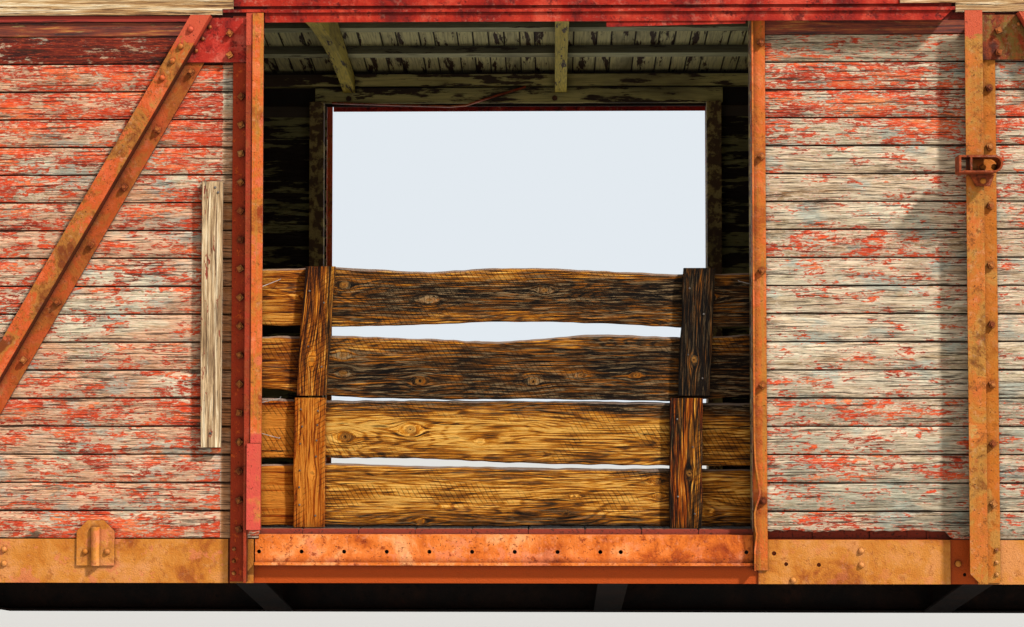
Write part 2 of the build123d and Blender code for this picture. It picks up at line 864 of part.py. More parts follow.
def fascia():
    """Weathered boards along the eaves, and the moulding under them between the braces."""
    y = (HALF_WIDTH, HALF_WIDTH + FASCIA_T)
    z = (POST_TOP + 5, EAVE - 6)
    # Both boards lap over the ends of the door track's flashing
    left_end, right_end = HOOD_BACK_X[0] - CLEAR, HOOD_BACK_X[1] + CLEAR
    left = block((-HALF_LENGTH, left_end), y, z)
    left += block((left_end - 1, HOOD_UPPER_X[0] - CLEAR), y, (FLASHING_TOP + CLEAR, z[1]))
    right = block((right_end, HALF_LENGTH), y, z)
    front = (HALF_WIDTH + HOOD_BACK_T + CLEAR, y[1])
    right += block((HOOD_UPPER_X[1] + CLEAR, right_end + 1), front, (UPPER_FOOT + CLEAR, z[1]))
    boards = [left, right]
    moulding_z = (PLATE_BOTTOM, PLATE_BOTTOM + 27)
    moulding_y = (HALF_WIDTH, HALF_WIDTH + 10)
    mouldings = []
    for top_x, foot_x, way in PANELS:
        lean = brace_angle(top_x, foot_x)
        from_brace = brace_web_x(top_x, foot_x, way, PLATE_BOTTOM) + way * (
            BAR_FLANGE / math.cos(lean) + 6
        )
        to_post = foot_x - way * (BAR_FLANGE + 6)
        if abs(to_post - from_brace) > 50:
            mouldings.append(block(sorted((from_brace, to_post)), moulding_y, moulding_z))
    return far_and_near(boards) + four_ways(mouldings)


# The gate of rough planks in the near doorway
GATE_PLANKS = (
    # heights of the lower edge, then of the upper edge, at even steps from left to right
    ((1190, 1191, 1190, 1190, 1191, 1190, 1190), (1477, 1482, 1470, 1464, 1459, 1457, 1455)),
    ((1507, 1507, 1505, 1486, 1477, 1472, 1472), (1790, 1778, 1776, 1775, 1771, 1767, 1765)),
    ((1841, 1798, 1783, 1784, 1780, 1777, 1808), (2078, 2082, 2066, 2056, 2085, 2074, 2087)),
    ((2134, 2125, 2134, 2148, 2139, 2121, 2127), (2394, 2404, 2383, 2401, 2386, 2371, 2375)),
)
PLANK_T = 36.0
CLEAT_T = 32.0
GATE_CLEATS = (
    # x at the foot, x at the top, foot, top, width
    (-1481.0, -1441.0, 1800.0, 2406.0, 141.0),
    (-1493.0, -1490.0, 1186.0, 1790.0, 146.0),
    (305.0, 333.0, 1800.0, 2396.0, 148.0),
    (262.0, 268.0, 1184.0, 1788.0, 152.0),
)
GATE_X = (-1702.0, 735.0)


def gate_planks():
    y1 = INSIDE_Y - JAMB_D
    pieces = []
    for lower, upper in GATE_PLANKS:
        step = (GATE_X[1] - GATE_X[0]) / (len(lower) - 1)
        outline = [(GATE_X[0] + i * step, z) for i, z in enumerate(lower)]
        outline += [(GATE_X[0] + i * step, z) for i, z in enumerate(upper)][::-1]
        pieces.append(along(outline, (y1 - PLANK_T, y1)))
    return near(pieces)


def gate_cleats():
    y0 = INSIDE_Y - JAMB_D
    pieces = []
    for foot_x, top_x, low, high, width in GATE_CLEATS:
        outline = [(foot_x, low), (foot_x + width, low), (top_x + width, high), (top_x, high)]
        pieces.append(along(outline, (y0, y0 + CLEAT_T)))
    return near(pieces)


BATTEN_X = (-1907.0, -1814.0)
BATTEN_Z = (1561.0, 2793.0)
BATTEN_T = 36.0


def batten():
    return near([block(BATTEN_X, (HALF_WIDTH, HALF_WIDTH + BATTEN_T), BATTEN_Z)])


SILL_BRACKET_X = (-2483.0, -2308.0)
SILL_BRACKET_Z = (1015.0, 1223.0)


def sill_brackets():
    """A plate with clipped corners and a half-round rib, riveted on the side sill."""
    x0, x1 = SILL_BRACKET_X
    z0, z1 = SILL_BRACKET_Z
    clip = 50.0
    t = 8.0
    plate = along(
        [(x0, z0), (x1, z0), (x1, z1 - clip), (x1 - clip, z1), (x0 + clip, z1), (x0, z1 - clip)],
        (HALF_WIDTH, HALF_WIDTH + t),
    )
    middle = (x0 + x1) / 2
    rib = rod((middle, HALF_WIDTH + t, z0), (middle, HALF_WIDTH + t, z1 - 30), 21.0)
    rib &= block((x0, x1), (HALF_WIDTH, HALF_WIDTH + 60), (z0, z1))
    return far_and_near([plate + rib])


STRAP_X = (1567.0, 1765.0)
STRAP_Z = (2812.0, 2891.0)
STRAP_WALL = 9.0
STRAP_OUT = 170.0


def strap_brackets():
    """A flat strap bent into a closed loop, bolted on the outer flange of the right-hand post."""
    x0, x1 = STRAP_X
    z0, z1 = STRAP_Z
    y = (HALF_WIDTH + BAR_DEPTH, HALF_WIDTH + STRAP_OUT)
    r = (z1 - z0) / 2
    middle = (z0 + z1) / 2
    outer = block((x0, x1 - r), y, (z0, z1)) + rod((x1 - r, y[0], middle), (x1 - r, y[1], middle), r)
    inner = block((x0 + STRAP_WALL, x1 - r), (y[0] - 1, y[1] + 1), (z0 + STRAP_WALL, z1 - STRAP_WALL))
    inner += rod((x1 - r, y[0] - 1, middle), (x1 - r, y[1] + 1, middle), r - STRAP_WALL)
    divider = block((x0 + 50, x0 + 50 + STRAP_WALL), y, (z0 + 1, z1 - 1))
    loop = outer - inner + divider
    ear = along(
        [(x0 + 66, z0), (x1 - 20, z0), (x1 - 40, z0 - 54), (x0 + 92, z0 - 54)],
        (y[0], y[0] + STRAP_WALL),
    )
    return far_and_near([loop + ear])


# Roof
CARLINE_STEPS = 12


def plate_timbers():
    y = (HALF_WIDTH - 90, HALF_WIDTH - PLATE_T)
    reach = HALF_LENGTH - PLATE_T - CLEAR
    return far_and_near([block((-reach, reach), y, (EAVE - PLATE_T - 70, EAVE - PLATE_T))])


def carlines():
    """Timbers across the car under the purlins, peaked on top and cut to an arch below."""
    reach = HALF_WIDTH - 90
    foot = roof_z(reach) - PURLIN_H - CARLINE_DEPTH
    arch = []
    for i in range(CARLINE_STEPS + 1):
        share = 2 * i / CARLINE_STEPS - 1
        arch.append((share * reach, foot + CARLINE_RISE * (1 - share**2)))
    outline = arch + [
        (reach, roof_z(reach) - PURLIN_H),
        (0, roof_z(0) - PURLIN_H),
        (-reach, roof_z(reach) - PURLIN_H),
    ]
    pieces = []
    limit = HALF_LENGTH - CARLINE_END_GAP
    before = int((limit + CARLINE_PHASE) // CARLINE_PITCH)
    after = int((limit - CARLINE_PHASE) // CARLINE_PITCH)
    for i in range(-before, after + 1):
        x = CARLINE_PHASE + i * CARLINE_PITCH
        pieces.append(across(outline, (x - CARLINE_W / 2, x + CARLINE_W / 2)))
    return pieces


PURLIN_Y = (430.0, 860.0)
PURLIN_W = 70.0


def purlins():
    reach = HALF_LENGTH - PLATE_T - CLEAR
    half = PURLIN_W / 2
    pieces = []
    for y in PURLIN_Y:
        outline = [
            (y - half, roof_z(y - half) - PURLIN_H),
            (y + half, roof_z(y + half) - PURLIN_H),
            (y + half, roof_z(y + half)),
            (y - half, roof_z(y - half)),
        ]
        pieces.append(across(outline, (-reach, reach)))
    ridge = [
        (-half, roof_z(half) - PURLIN_H),
        (0, roof_z(0) - PURLIN_H),
        (half, roof_z(half) - PURLIN_H),
        (half, roof_z(half)),
        (0, roof_z(0)),
        (-half, roof_z(half)),
    ]
    return far_and_near(pieces) + [across(ridge, (-reach, reach))]


def roof_boards():
    reach = HALF_LENGTH + ROOF_END_OVER - 10
    eave_y = HALF_WIDTH + EAVE_OVER - 8
    start = (0, ROOF_BOARD_T * SLOPE + 1, roof_z(ROOF_BOARD_T * SLOPE + 1))
    down = Vector(0, 1, -SLOPE).normalized()
    length = (eave_y - start[1]) * math.hypot(1, SLOPE)
    plane = Plane(origin=start, x_dir=(1, 0, 0), z_dir=down)
    pitch = 1.5 * BOARD_PITCH
    outline = [(-reach + s, t) for s, t in grooved_outline(2 * reach, ROOF_BOARD_T, pitch, faces=1)]
    flipped = [(x, ROOF_BOARD_T - t) for x, t in outline]
    sign = 1.0 if plane.y_dir.Z > 0 else -1.0
    points = [(x, sign * t) for x, t in flipped]
    slab = prism(plane, points, length, down)
    return far_and_near([slab])


def roof_top(y):
    """The top of the roof boards, straight above a point."""
    return roof_z(y) + ROOF_BOARD_T * math.hypot(1, SLOPE) + 0.5


def roof_sheets():
    reach = HALF_LENGTH + ROOF_END_OVER
    out = HALF_WIDTH + EAVE_OVER
    drip = 30.0
    outline = [
        (0, roof_top(0)),
        (out - SHEET_T, roof_top(out - SHEET_T)),
        (out - SHEET_T, roof_top(out) - drip),
        (out, roof_top(out) - drip),
        (out, roof_top(out) + SHEET_T),
        (0, roof_top(0) + SHEET_T),
    ]
    sheet = across(outline, (-reach, reach))
    seam = [
        (0, roof_top(0) + 1),
        (out - 2, roof_top(out) + 1),
        (out - 2, roof_top(out) + SEAM_H),
        (0, roof_top(0) + SEAM_H),
    ]
    seams = int(HALF_LENGTH // SEAM_PITCH)
    for i in range(-seams, seams + 1):
        x = i * SEAM_PITCH
        sheet += across(seam, (x - SEAM_W / 2, x + SEAM_W / 2))
    return far_and_near([sheet])


WALK_Z = EAVE + ROOF_RISE + ROOF_BOARD_T + SHEET_T + WALK_RISE


def running_board():
    reach = HALF_LENGTH + ROOF_END_OVER + 60
    pieces = []
    for row in (-1, 0, 1):
        middle = row * (WALK_PLANK_W + WALK_GAP)
        half = WALK_PLANK_W / 2
        pieces.append(block((-reach, reach), (middle - half, middle + half), (WALK_Z, WALK_Z + WALK_T)))
    return pieces


def walk_saddles():
    half = 1.5 * WALK_PLANK_W + WALK_GAP
    outline = [
        (-half, roof_top(half) + SHEET_T),
        (0, roof_top(0) + SHEET_T),
        (half, roof_top(half) + SHEET_T),
        (half, WALK_Z),
        (-half, WALK_Z),
    ]
    pieces = []
    count = int(HALF_LENGTH // SADDLE_PITCH)
    for i in range(-count, count):
        x = (i + 0.5) * SADDLE_PITCH + SEAM_PITCH / 2 - SADDLE_PITCH / 2
        pieces.append(across(outline, (x - 24, x + 24)))
    ends = [across(outline, (x - 24, x + 24)) for x in (-HALF_LENGTH + 60, HALF_LENGTH - 60)]
    return pieces + ends


# Ladders, steps and brake gear
LADDER_INSET = (650.0, 220.0)
LADDER_X = tuple(HALF_LENGTH - inset for inset in LADDER_INSET)
LADDER_BAR = 40.0
LADDER_FOOT = 1000.0
LADDER_TOP = 3690.0
RUNGS = 8
RUNG_FIRST = 1180.0
RUNG_PITCH = 345.0
RUNG_R = 10.0
LADDER_STILE_T = 8.0


def side_ladder():
    """Two stiles that stand off the braces, with round rungs between them."""
    y0 = HALF_WIDTH + BAR_DEPTH + 4
    y1 = y0 + LADDER_BAR
    half = LADDER_STILE_T / 2
    pieces = []
    for x in LADDER_X:
        stile = block((x - half, x + half), (y0, y1), (LADDER_FOOT, LADDER_TOP))
        foot = block((x - 20, x + 20), (HALF_WIDTH, y1), (LADDER_FOOT - 8, LADDER_FOOT))
        head = block((x - 20, x + 20), (HALF_WIDTH + FASCIA_T, y1), (LADDER_TOP, LADDER_TOP + 8))
        pieces += [stile, foot, head]
    middle = (y0 + y1) / 2
    for i in range(RUNGS):
        z = RUNG_FIRST + i * RUNG_PITCH
        pieces.append(rod((LADDER_X[0] + half, middle, z), (LADDER_X[1] - half, middle, z), RUNG_R))
    return pieces


HANDHOLD_Z = 1525.0
HANDHOLD_OFF = 64.0


def handhold():
    """A single rung on two lugs, over the step at the corner that has no ladder."""
    y = HALF_WIDTH + HANDHOLD_OFF
    z = (HANDHOLD_Z - RUNG_R, HANDHOLD_Z + RUNG_R)
    bar = rod((-LADDER_X[1] + 8, y, HANDHOLD_Z), (-LADDER_X[0] - 8, y, HANDHOLD_Z), RUNG_R)
    lugs = [block((-x - 8, -x + 8), (HALF_WIDTH, y + RUNG_R), z) for x in LADDER_X]
    return [bar] + lugs


def side_ladders():
    far = side_ladder() + handhold()
    return far + [Rot(0, 0, 180) * s for s in far]


END_LADDER_Y = (760.0, 1190.0)
END_RUNG_OFF = 62.0


def end_ladder():
    pieces = []
    y0, y1 = END_LADDER_Y
    x = HALF_LENGTH + END_RUNG_OFF
    for i in range(RUNGS - 1):
        z = RUNG_FIRST + i * RUNG_PITCH
        pieces.append(rod((x, y0 + 8, z), (x, y1 - 8, z), RUNG_R))
        for y in (y0, y1):
            pieces.append(block((HALF_LENGTH, x + RUNG_R), (y - 8, y + 8), (z - RUNG_R, z + RUNG_R)))
    return pieces


def end_ladders():
    right = end_ladder()
    return right + [Rot(0, 0, 180) * s for s in right]


STEP_INSET = (510.0, 160.0)
STEP_X = tuple(HALF_LENGTH - inset for inset in STEP_INSET)
STEP_BOTTOM = 560.0
STEP_W = 50.0


def sill_steps():
    """Flat-bar stirrups under the corners of the side sills."""
    x0, x1 = STEP_X
    t = 12.0
    outline = [
        (x0, SILL_BOTTOM),
        (x0 + 30, STEP_BOTTOM),
        (x1 - 30, STEP_BOTTOM),
        (x1, SILL_BOTTOM),
        (x1 - t, SILL_BOTTOM),
        (x1 - 30 - t, STEP_BOTTOM + t),
        (x0 + 30 + t, STEP_BOTTOM + t),
        (x0 + t, SILL_BOTTOM),
    ]
    y1 = HALF_WIDTH - SILL_PLATE_T
    return four_ways([along(outline, (y1 - STEP_W, y1))])


BRAKE_STAFF_INSET = 732.0
BRAKE_STAFF_Y = BRAKE_STAFF_INSET - HALF_WIDTH
BRAKE_STAFF_X = HALF_LENGTH + 130.0
BRAKE_WHEEL_Z = 3995.0
STAFF_GUIDE_Z = (SILL_TOP - 40.0, 2300.0, 3600.0)
BRAKE_STEP_Z = 2900.0


def brake_staff():
    """The hand-brake's upright staff at one end, with its step and brackets."""
    x, y = BRAKE_STAFF_X, BRAKE_STAFF_Y
    staff = rod((x, y, 905), (x, y, BRAKE_WHEEL_Z), 15.0)
    for z in STAFF_GUIDE_Z:
        staff += block((HALF_LENGTH, x + 24), (y - 26, y + 26), (z, z + 14))
    step_z = BRAKE_STEP_Z
    step = block((HALF_LENGTH, x - 40), (y - 300, y + 90), (step_z, step_z + 30))
    corner = [(HALF_LENGTH, step_z), (x - 60, step_z), (HALF_LENGTH, step_z - 160)]
    bracket = along(corner, (y - 240, y - 228))
    step += bracket + mirror(bracket, Plane.XZ.offset(-(y - 100)))
    return [staff, step]


def brake_wheel():
    x, y, z = BRAKE_STAFF_X, BRAKE_STAFF_Y, BRAKE_WHEEL_Z
    rim_r = 200.0
    wheel = turned_up([(rim_r - 12, 14), (rim_r + 12, 14), (rim_r + 12, 38), (rim_r - 12, 38)], (x, y, z))
    wheel += turned_up([(0, 0), (34, 0), (34, 34), (0, 34)], (x, y, z))
    for i in range(5):
        a = math.radians(72 * i)
        dx, dy = math.cos(a), math.sin(a)
        wheel += rod((x + 20 * dx, y + 20 * dy, z + 18), (x + rim_r * dx, y + rim_r * dy, z + 26), 9.0)
    return [wheel]


def brake_cylinder():
    """The air-brake cylinder and its reservoir, end to end on a bracket under the floor."""
    x, y, z = CYLINDER_X, CYLINDER_Y, CYLINDER_Z
    plane = Plane(origin=(x, y, z), x_dir=(1, 0, 0), z_dir=(0, -1, 0))
    points = [(-420, 0), (-420, 150), (-385, 165), (-20, 165), (0, 150), (0, 175), (22, 175), (22, 135)]
    points += [(330, 135), (330, 160), (350, 160), (370, 60), (370, 0)]
    body = revolve(plane * Polygon(*points, align=None), axis=Axis((x, y, z), (1, 0, 0)))
    push = rod((x + 368, y, z), (LEVER_X, y, z), 22.0)
    for dx in (-300, 180):
        hang = block((x + dx, x + dx + 60), (y - 4, y + 4), (z + 100, SILL_TOP))
        body += hang
    return [body + push]


def brake_rods():
    """The lever at the cylinder and the pull rods that run from it towards both trucks."""
    lever_z = (CYLINDER_Z - 30, CYLINDER_Z + 30)
    lever = block((LEVER_X, LEVER_X + 26), (PULL_ROD_Y - 30, CYLINDER_Y + 40), lever_z)
    return [lever] + [rod(start, end, PULL_ROD_R) for start, end in pull_rod_lines()]


# Couplers
SHANK_L = 560.0
SHANK_HALF = 65.0
DRAFT_GEAR_L = 620.0


def coupler():
    """A knuckle coupler: shank, head with its guard arm, and the knuckle hooked across it."""
    x = HALF_LENGTH
    z = COUPLER_Z
    shank = block((x - SHANK_L, x + 130), (-SHANK_HALF, SHANK_HALF), (z - SHANK_HALF, z + SHANK_HALF))
    head = upright(
        [
            (x + 100, -70),
            (x + 150, -120),
            (x + 250, -175),
            (x + 400, -185),
            (x + 440, -150),
            (x + 330, -95),
            (x + 270, -40),
            (x + 265, 30),
            (x + 300, 70),
            (x + 290, 150),
            (x + 160, 150),
            (x + 100, 75),
        ],
        (z - 115, z + 115),
    )
    knuckle = upright(
        [
            (x + 300.3, 70),
            (x + 290.3, 150),
            (x + 350, 170),
            (x + 420, 140),
            (x + 440, 70),
            (x + 425, -5),
            (x + 380, -20),
            (x + 350, 10),
            (x + 360, 60),
        ],
        (z - 140, z + 140),
    )
    return [shank + head, knuckle]


def couplers():
    right = coupler()
    return right + [Rot(0, 0, 180) * s for s in right]


def draft_gear():
    """The striking plate round the coupler and the yoke and gear between the centre sills."""
    x = HALF_LENGTH
    z = COUPLER_Z
    frame = block((x, x + 46), (-150, 150), (z - 130, z + 130))
    frame -= block((x - 1, x + 47), (-78, 78), (z - 78, z + 78))
    gear = block((x - SHANK_L - DRAFT_GEAR_L, x - SHANK_L), (-CENTRE_WEB_Y, CENTRE_WEB_Y), (z - 100, z + 100))
    return both_ends([frame, gear])


def uncoupling_levers():
    """The bent rod on each end sill that lifts the coupler's lock."""
    x = HALF_LENGTH + BAR_DEPTH + 25
    z = 1060.0
    path = FilletPolyline(
        (x, -1290, z - 190),
        (x, -1250, z),
        (x, -40, z),
        (x + 130, -10, z - 28),
        radius=40,
    )
    start = Plane(origin=path @ 0, z_dir=path % 0)
    lever = sweep(start * Circle(11), path=path)
    for y in (-1150, -300):
        lever += block((HALF_LENGTH, x + 14), (y - 20, y + 20), (z - 14, z + 14))
    return [lever, Rot(0, 0, 180) * lever]


# Trucks, each drawn about its own centre
def bar_outline(points, thickness):
    """A flat bar bent to a path of (x, z) points, thickened upwards."""
    return points + [(x, z + thickness) for x, z in points[::-1]]


def arch_bars():
    """The bent bars of the side frame: top arch bar, inverted arch bar and tie bar."""
    y = (JOURNAL_Y - BAR_W / 2, JOURNAL_Y + BAR_W / 2)
    box_top = AXLE_Z + BOX_H / 2
    box_low = AXLE_Z - BOX_H / 2
    end = AXLE_X + 160
    bend = AXLE_X - 130
    flat = COLUMN_X + COLUMN_T + 6
    rise = TRUCK_BOLSTER_TOP + 62
    low = 282.0
    inverted = [(-end, box_top), (-bend, box_top), (-flat, low), (flat, low), (bend, box_top), (end, box_top)]
    top = [
        (-end, box_top + BAR_T),
        (-bend, box_top + BAR_T),
        (-flat, rise),
        (flat, rise),
        (bend, box_top + BAR_T),
        (end, box_top + BAR_T),
    ]
    tie = [
        (-end, box_low - BAR_T),
        (-bend, box_low - BAR_T),
        (-flat, low - BAR_T),
        (flat, low - BAR_T),
        (bend, box_low - BAR_T),
        (end, box_low - BAR_T),
    ]
    bars = [along(bar_outline(path, BAR_T), y) for path in (inverted, top, tie)]
    column = block((COLUMN_X, COLUMN_X + COLUMN_T), y, (low + BAR_T, rise))
    return far_and_near(bars + [column, mirror(column, Plane.YZ)])


def journal_boxes():
    """Cast boxes over the journals, with a sloping front and a lid."""
    z0, z1 = AXLE_Z - BOX_H / 2, AXLE_Z + BOX_H / 2
    front = BOX_OUTER_Y
    outline = [(BOX_INNER_Y, z0), (front - 20, z0), (front, z0 + 90), (front - 34, z1), (BOX_INNER_Y, z1)]
    box = across(outline, (AXLE_X - BOX_L / 2, AXLE_X + BOX_L / 2))
    bore = rod((AXLE_X, BOX_INNER_Y - 1, AXLE_Z), (AXLE_X, BOX_OUTER_Y - 24, AXLE_Z), JOURNAL_R + JOURNAL_FIT)
    lid = across(
        [(front, z0 + 92), (front + 14, z0 + 92), (front - 18, z1 - 8), (front - 32.4, z1 - 8)],
        (AXLE_X - BOX_L / 2 + 20, AXLE_X + BOX_L / 2 - 20),
    )
    return four_ways([box - bore + lid])


def truck_bolster():
    """The beam across the truck, deeper in the middle, with the centre bowl and side bearings on it."""
    top = TRUCK_BOLSTER_TOP
    reach = JOURNAL_Y + BAR_W / 2 + 12
    outline = [
        (-reach, top),
        (-reach, top - BOLSTER_END_H),
        (-BOLSTER_TAPER[1], top - BOLSTER_END_H),
        (-BOLSTER_TAPER[0], top - BOLSTER_MIDDLE_H),
        (BOLSTER_TAPER[0], top - BOLSTER_MIDDLE_H),
        (BOLSTER_TAPER[1], top - BOLSTER_END_H),
        (reach, top - BOLSTER_END_H),
        (reach, top),
    ]
    beam = across(outline, (-BOLSTER_HALF_W, BOLSTER_HALF_W))
    outer = BOWL_R + BOWL_WALL
    bowl = turned_up([(BOWL_R, top - 1), (outer, top - 1), (outer - 6, top + BOWL_H), (BOWL_R, top + BOWL_H)])
    side = block((-80, 80), (575, 695), (top, top + 30))
    pin_hole = rod((0, 0, top - 120), (0, 0, top + 1), KINGPIN_R + PIN_FIT)
    return [beam + bowl + side + mirror(side, Plane.XZ) - pin_hole]


PLANK_LOW = 318.0
PLANK_TOP = PLANK_LOW + 14.0


def spring_plank():
    """The channel that ties the side frames together under the springs."""
    reach = JOURNAL_Y + BAR_W / 2
    half = COLUMN_X - 6
    outline = [
        (-half, PLANK_LOW),
        (half, PLANK_LOW),
        (half, PLANK_LOW + 60),
        (half - 12, PLANK_LOW + 60),
        (half - 12, PLANK_TOP),
        (-half + 12, PLANK_TOP),
        (-half + 12, PLANK_LOW + 60),
        (-half, PLANK_LOW + 60),
    ]
    return [along(outline, (-reach, reach))]


def springs():
    """Coil springs between the plank and the bolster's ends, as turned stacks of coils."""
    low, high = PLANK_TOP, TRUCK_BOLSTER_TOP - BOLSTER_END_H
    coils = 4
    pitch = (high - low) / coils
    points = [(0, low)]
    for i in range(coils):
        points += [(SPRING_R - 12, low + i * pitch), (SPRING_R, low + (i + 0.5) * pitch)]
    points += [(SPRING_R - 12, high), (0, high)]
    return far_and_near([turned_up(points, (x, JOURNAL_Y, 0)) for x in (-78, 78)])


def brake_beams():
    """A trussed beam inside each pair of wheels, with a shoe at each end and a hanger."""
    pieces = []
    shoe_in = TREAD_R + SHOE_GAP
    beam_x = AXLE_X - 496.0
    beam_z = AXLE_Z - 30.0
    beam = block((beam_x - 18, beam_x + 18), (-800, 800), (beam_z - 26, beam_z + 26))
    truss = upright(
        [
            (beam_x - 18, -640),
            (beam_x - 110, -20),
            (beam_x - 110, 20),
            (beam_x - 18, 640),
            (beam_x - 18, 610),
            (beam_x - 92, 14),
            (beam_x - 92, -14),
            (beam_x - 18, -610),
        ],
        (beam_z - 12, beam_z + 12),
    )
    head_y = (WHEEL_INNER_Y + FLANGE_T + 8, WHEEL_INNER_Y + RIM_W - 12)
    ring = turned(
        [(head_y[0], shoe_in), (head_y[1], shoe_in), (head_y[1], shoe_in + 46), (head_y[0], shoe_in + 46)],
        (AXLE_X, 0, AXLE_Z),
    )
    shoe = ring & block((0, AXLE_X), (0, 900), (AXLE_Z - 150, AXLE_Z + 110))
    head = block((beam_x + 18, AXLE_X - shoe_in - 20), head_y, (beam_z - 30, beam_z + 30))
    head -= shoe
    hanger = rod((beam_x - 18, 600, beam_z), (BOLSTER_HALF_W, 600, TRUCK_BOLSTER_TOP - 70), 12.0)
    hanger &= block((BOLSTER_HALF_W, AXLE_X), (0, 900), (0, 900))
    one = [beam + truss]
    one += far_and_near([shoe, head, hanger])
    pieces += one
    pieces += [mirror(s, Plane.YZ) for s in one]
    return pieces


def wheel():
    """A cast wheel with no spokes: flange, coned tread, thin dished plate and hub. (y, radius) points."""
    y0 = WHEEL_INNER_Y
    y1 = y0 + RIM_W
    middle = y0 + RIM_W * 0.5
    outline = [
        (y0, RIM_INNER_R),
        (y0, TREAD_R + FLANGE_H - 6),
        (y0 + 10, TREAD_R + FLANGE_H),
        (y0 + 18, TREAD_R + FLANGE_H - 3),
        (y0 + FLANGE_T, TREAD_R),
        (y1, TREAD_R - 5),
        (y1, RIM_INNER_R),
        (middle + WHEEL_PLATE_T / 2, RIM_INNER_R - 16),
        (middle + 20 + WHEEL_PLATE_T / 2, HUB_R + 26),
        (y1 + HUB_OVERHANG, HUB_R),
        (y1 + HUB_OVERHANG, WHEEL_SEAT_R),
        (y0 - HUB_OVERHANG, WHEEL_SEAT_R),
        (y0 - HUB_OVERHANG, HUB_R),
        (middle + 20 - WHEEL_PLATE_T / 2, HUB_R + 26),
        (middle - WHEEL_PLATE_T / 2, RIM_INNER_R - 16),
    ]
    return turned(outline, (0, 0, AXLE_Z))


def axle():
    seat_in = WHEEL_INNER_Y - HUB_OVERHANG
    seat_out = WHEEL_INNER_Y + RIM_W + HUB_OVERHANG
    half = [
        (0, AXLE_R),
        (seat_in - 60, AXLE_R + 6),
        (seat_in, WHEEL_SEAT_R),
        (seat_out, WHEEL_SEAT_R),
        (seat_out, DUST_SEAT_R),
        (BOX_INNER_Y - 6, DUST_SEAT_R),
        (BOX_INNER_Y - 6, JOURNAL_R),
        (BOX_OUTER_Y - 32, JOURNAL_R),
        (BOX_OUTER_Y - 32, 0),
    ]
    left = [(-y, r) for y, r in half[::-1]]
    return turned(left + half[1:], (0, 0, AXLE_Z))


def wheelset():
    return [axle(), wheel(), mirror(wheel(), Plane.XZ)]


def placed(shapes, x, turn):
    return [Pos(x, 0, 0) * Rot(0, 0, turn) * s for s in shapes]


TRUCKS = (
    # letter, x, turn in degrees
    ("a", -TRUCK_X, 0.0),
    ("b", TRUCK_X, 180.0),
)


def main():
    write("centre_sill", centre_sill())
    write("side_sills", side_sill() + sill_plates())
    write("end_sills", end_sill())
    write("crossbearers", crossbearers())
    write("body_bolsters", body_bolster())
    write("floor_stringers", stringers())
    write("floor_deck", floor_deck())

    left, right = (-HALF_LENGTH, BOARDS_LEFT), (DOOR_RIGHT, HALF_LENGTH)
    write("boards_near_left", near([side_boards(left)]))
    write("boards_near_right", near([rotted(side_boards(right))]))
    write("boards_far_left", [side_boards(left)])
    write("boards_far_right", [side_boards(right)])
    write("top_strips", top_strips())
    write("end_boards", end_boards())
    write("side_plates", side_plate())
    write("end_gables", end_gable())

    write("side_posts", side_posts())
    write("side_braces", diagonals())
    write("gussets", gussets())
    write("corner_posts", corner_posts())
    write("end_posts", end_posts())
    write("door_angles", door_angles())
    write("door_jambs", jambs())
    write("door_threshold", threshold())
    write("door_track_hood", door_hood())
    write("fascia_boards", fascia())
    write("gate_planks", gate_planks())
    write("gate_cleats", gate_cleats())
    write("wall_batten", batten())
    write("sill_brackets", sill_brackets())
    write("strap_brackets", strap_brackets())

    write("plate_timbers", plate_timbers() + header_planks())
    write("bent_strip", bent_strip())
    write("carlines", carlines())
    write("purlins", purlins())
    write("roof_boards", roof_boards())
    write("roof_sheets", roof_sheets())
    write("running_board", running_board() + walk_saddles())

    write("ladders", side_ladders() + end_ladders())
    write("sill_steps", sill_steps())
    write("hand_brake", brake_staff() + brake_wheel())
    write("brake_cylinder", brake_cylinder())
    write("brake_rods", brake_rods())
    write("couplers", couplers())
    write("draft_gear", draft_gear())
    write("uncoupling_levers", uncoupling_levers())

    for letter, x, turn in TRUCKS:
        write(f"truck_{letter}_arch_bars", placed(arch_bars(), x, turn))
        write(f"truck_{letter}_journal_boxes", placed(journal_boxes(), x, turn))
        write(f"truck_{letter}_bolster", placed(truck_bolster() + spring_plank(), x, turn))
        write(f"truck_{letter}_springs", placed(springs(), x, turn))
        write(f"truck_{letter}_brake_beams", placed(brake_beams(), x, turn))
    for number, x in enumerate(
        (-TRUCK_X - AXLE_X, -TRUCK_X + AXLE_X, TRUCK_X - AXLE_X, TRUCK_X + AXLE_X), start=1
    ):
        write(f"wheelset_{number}", placed(wheelset(), x, 0.0))


main()
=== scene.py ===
"""The looks of an old outside-braced wooden boxcar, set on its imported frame.

Metres. X runs along the car, Y across it (the photographed side is -Y) and Z up from the floor.
"""

import math
import random

import bmesh
import bpy
from bpy.props import FloatProperty, FloatVectorProperty, IntProperty, PointerProperty
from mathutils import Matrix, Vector, noise


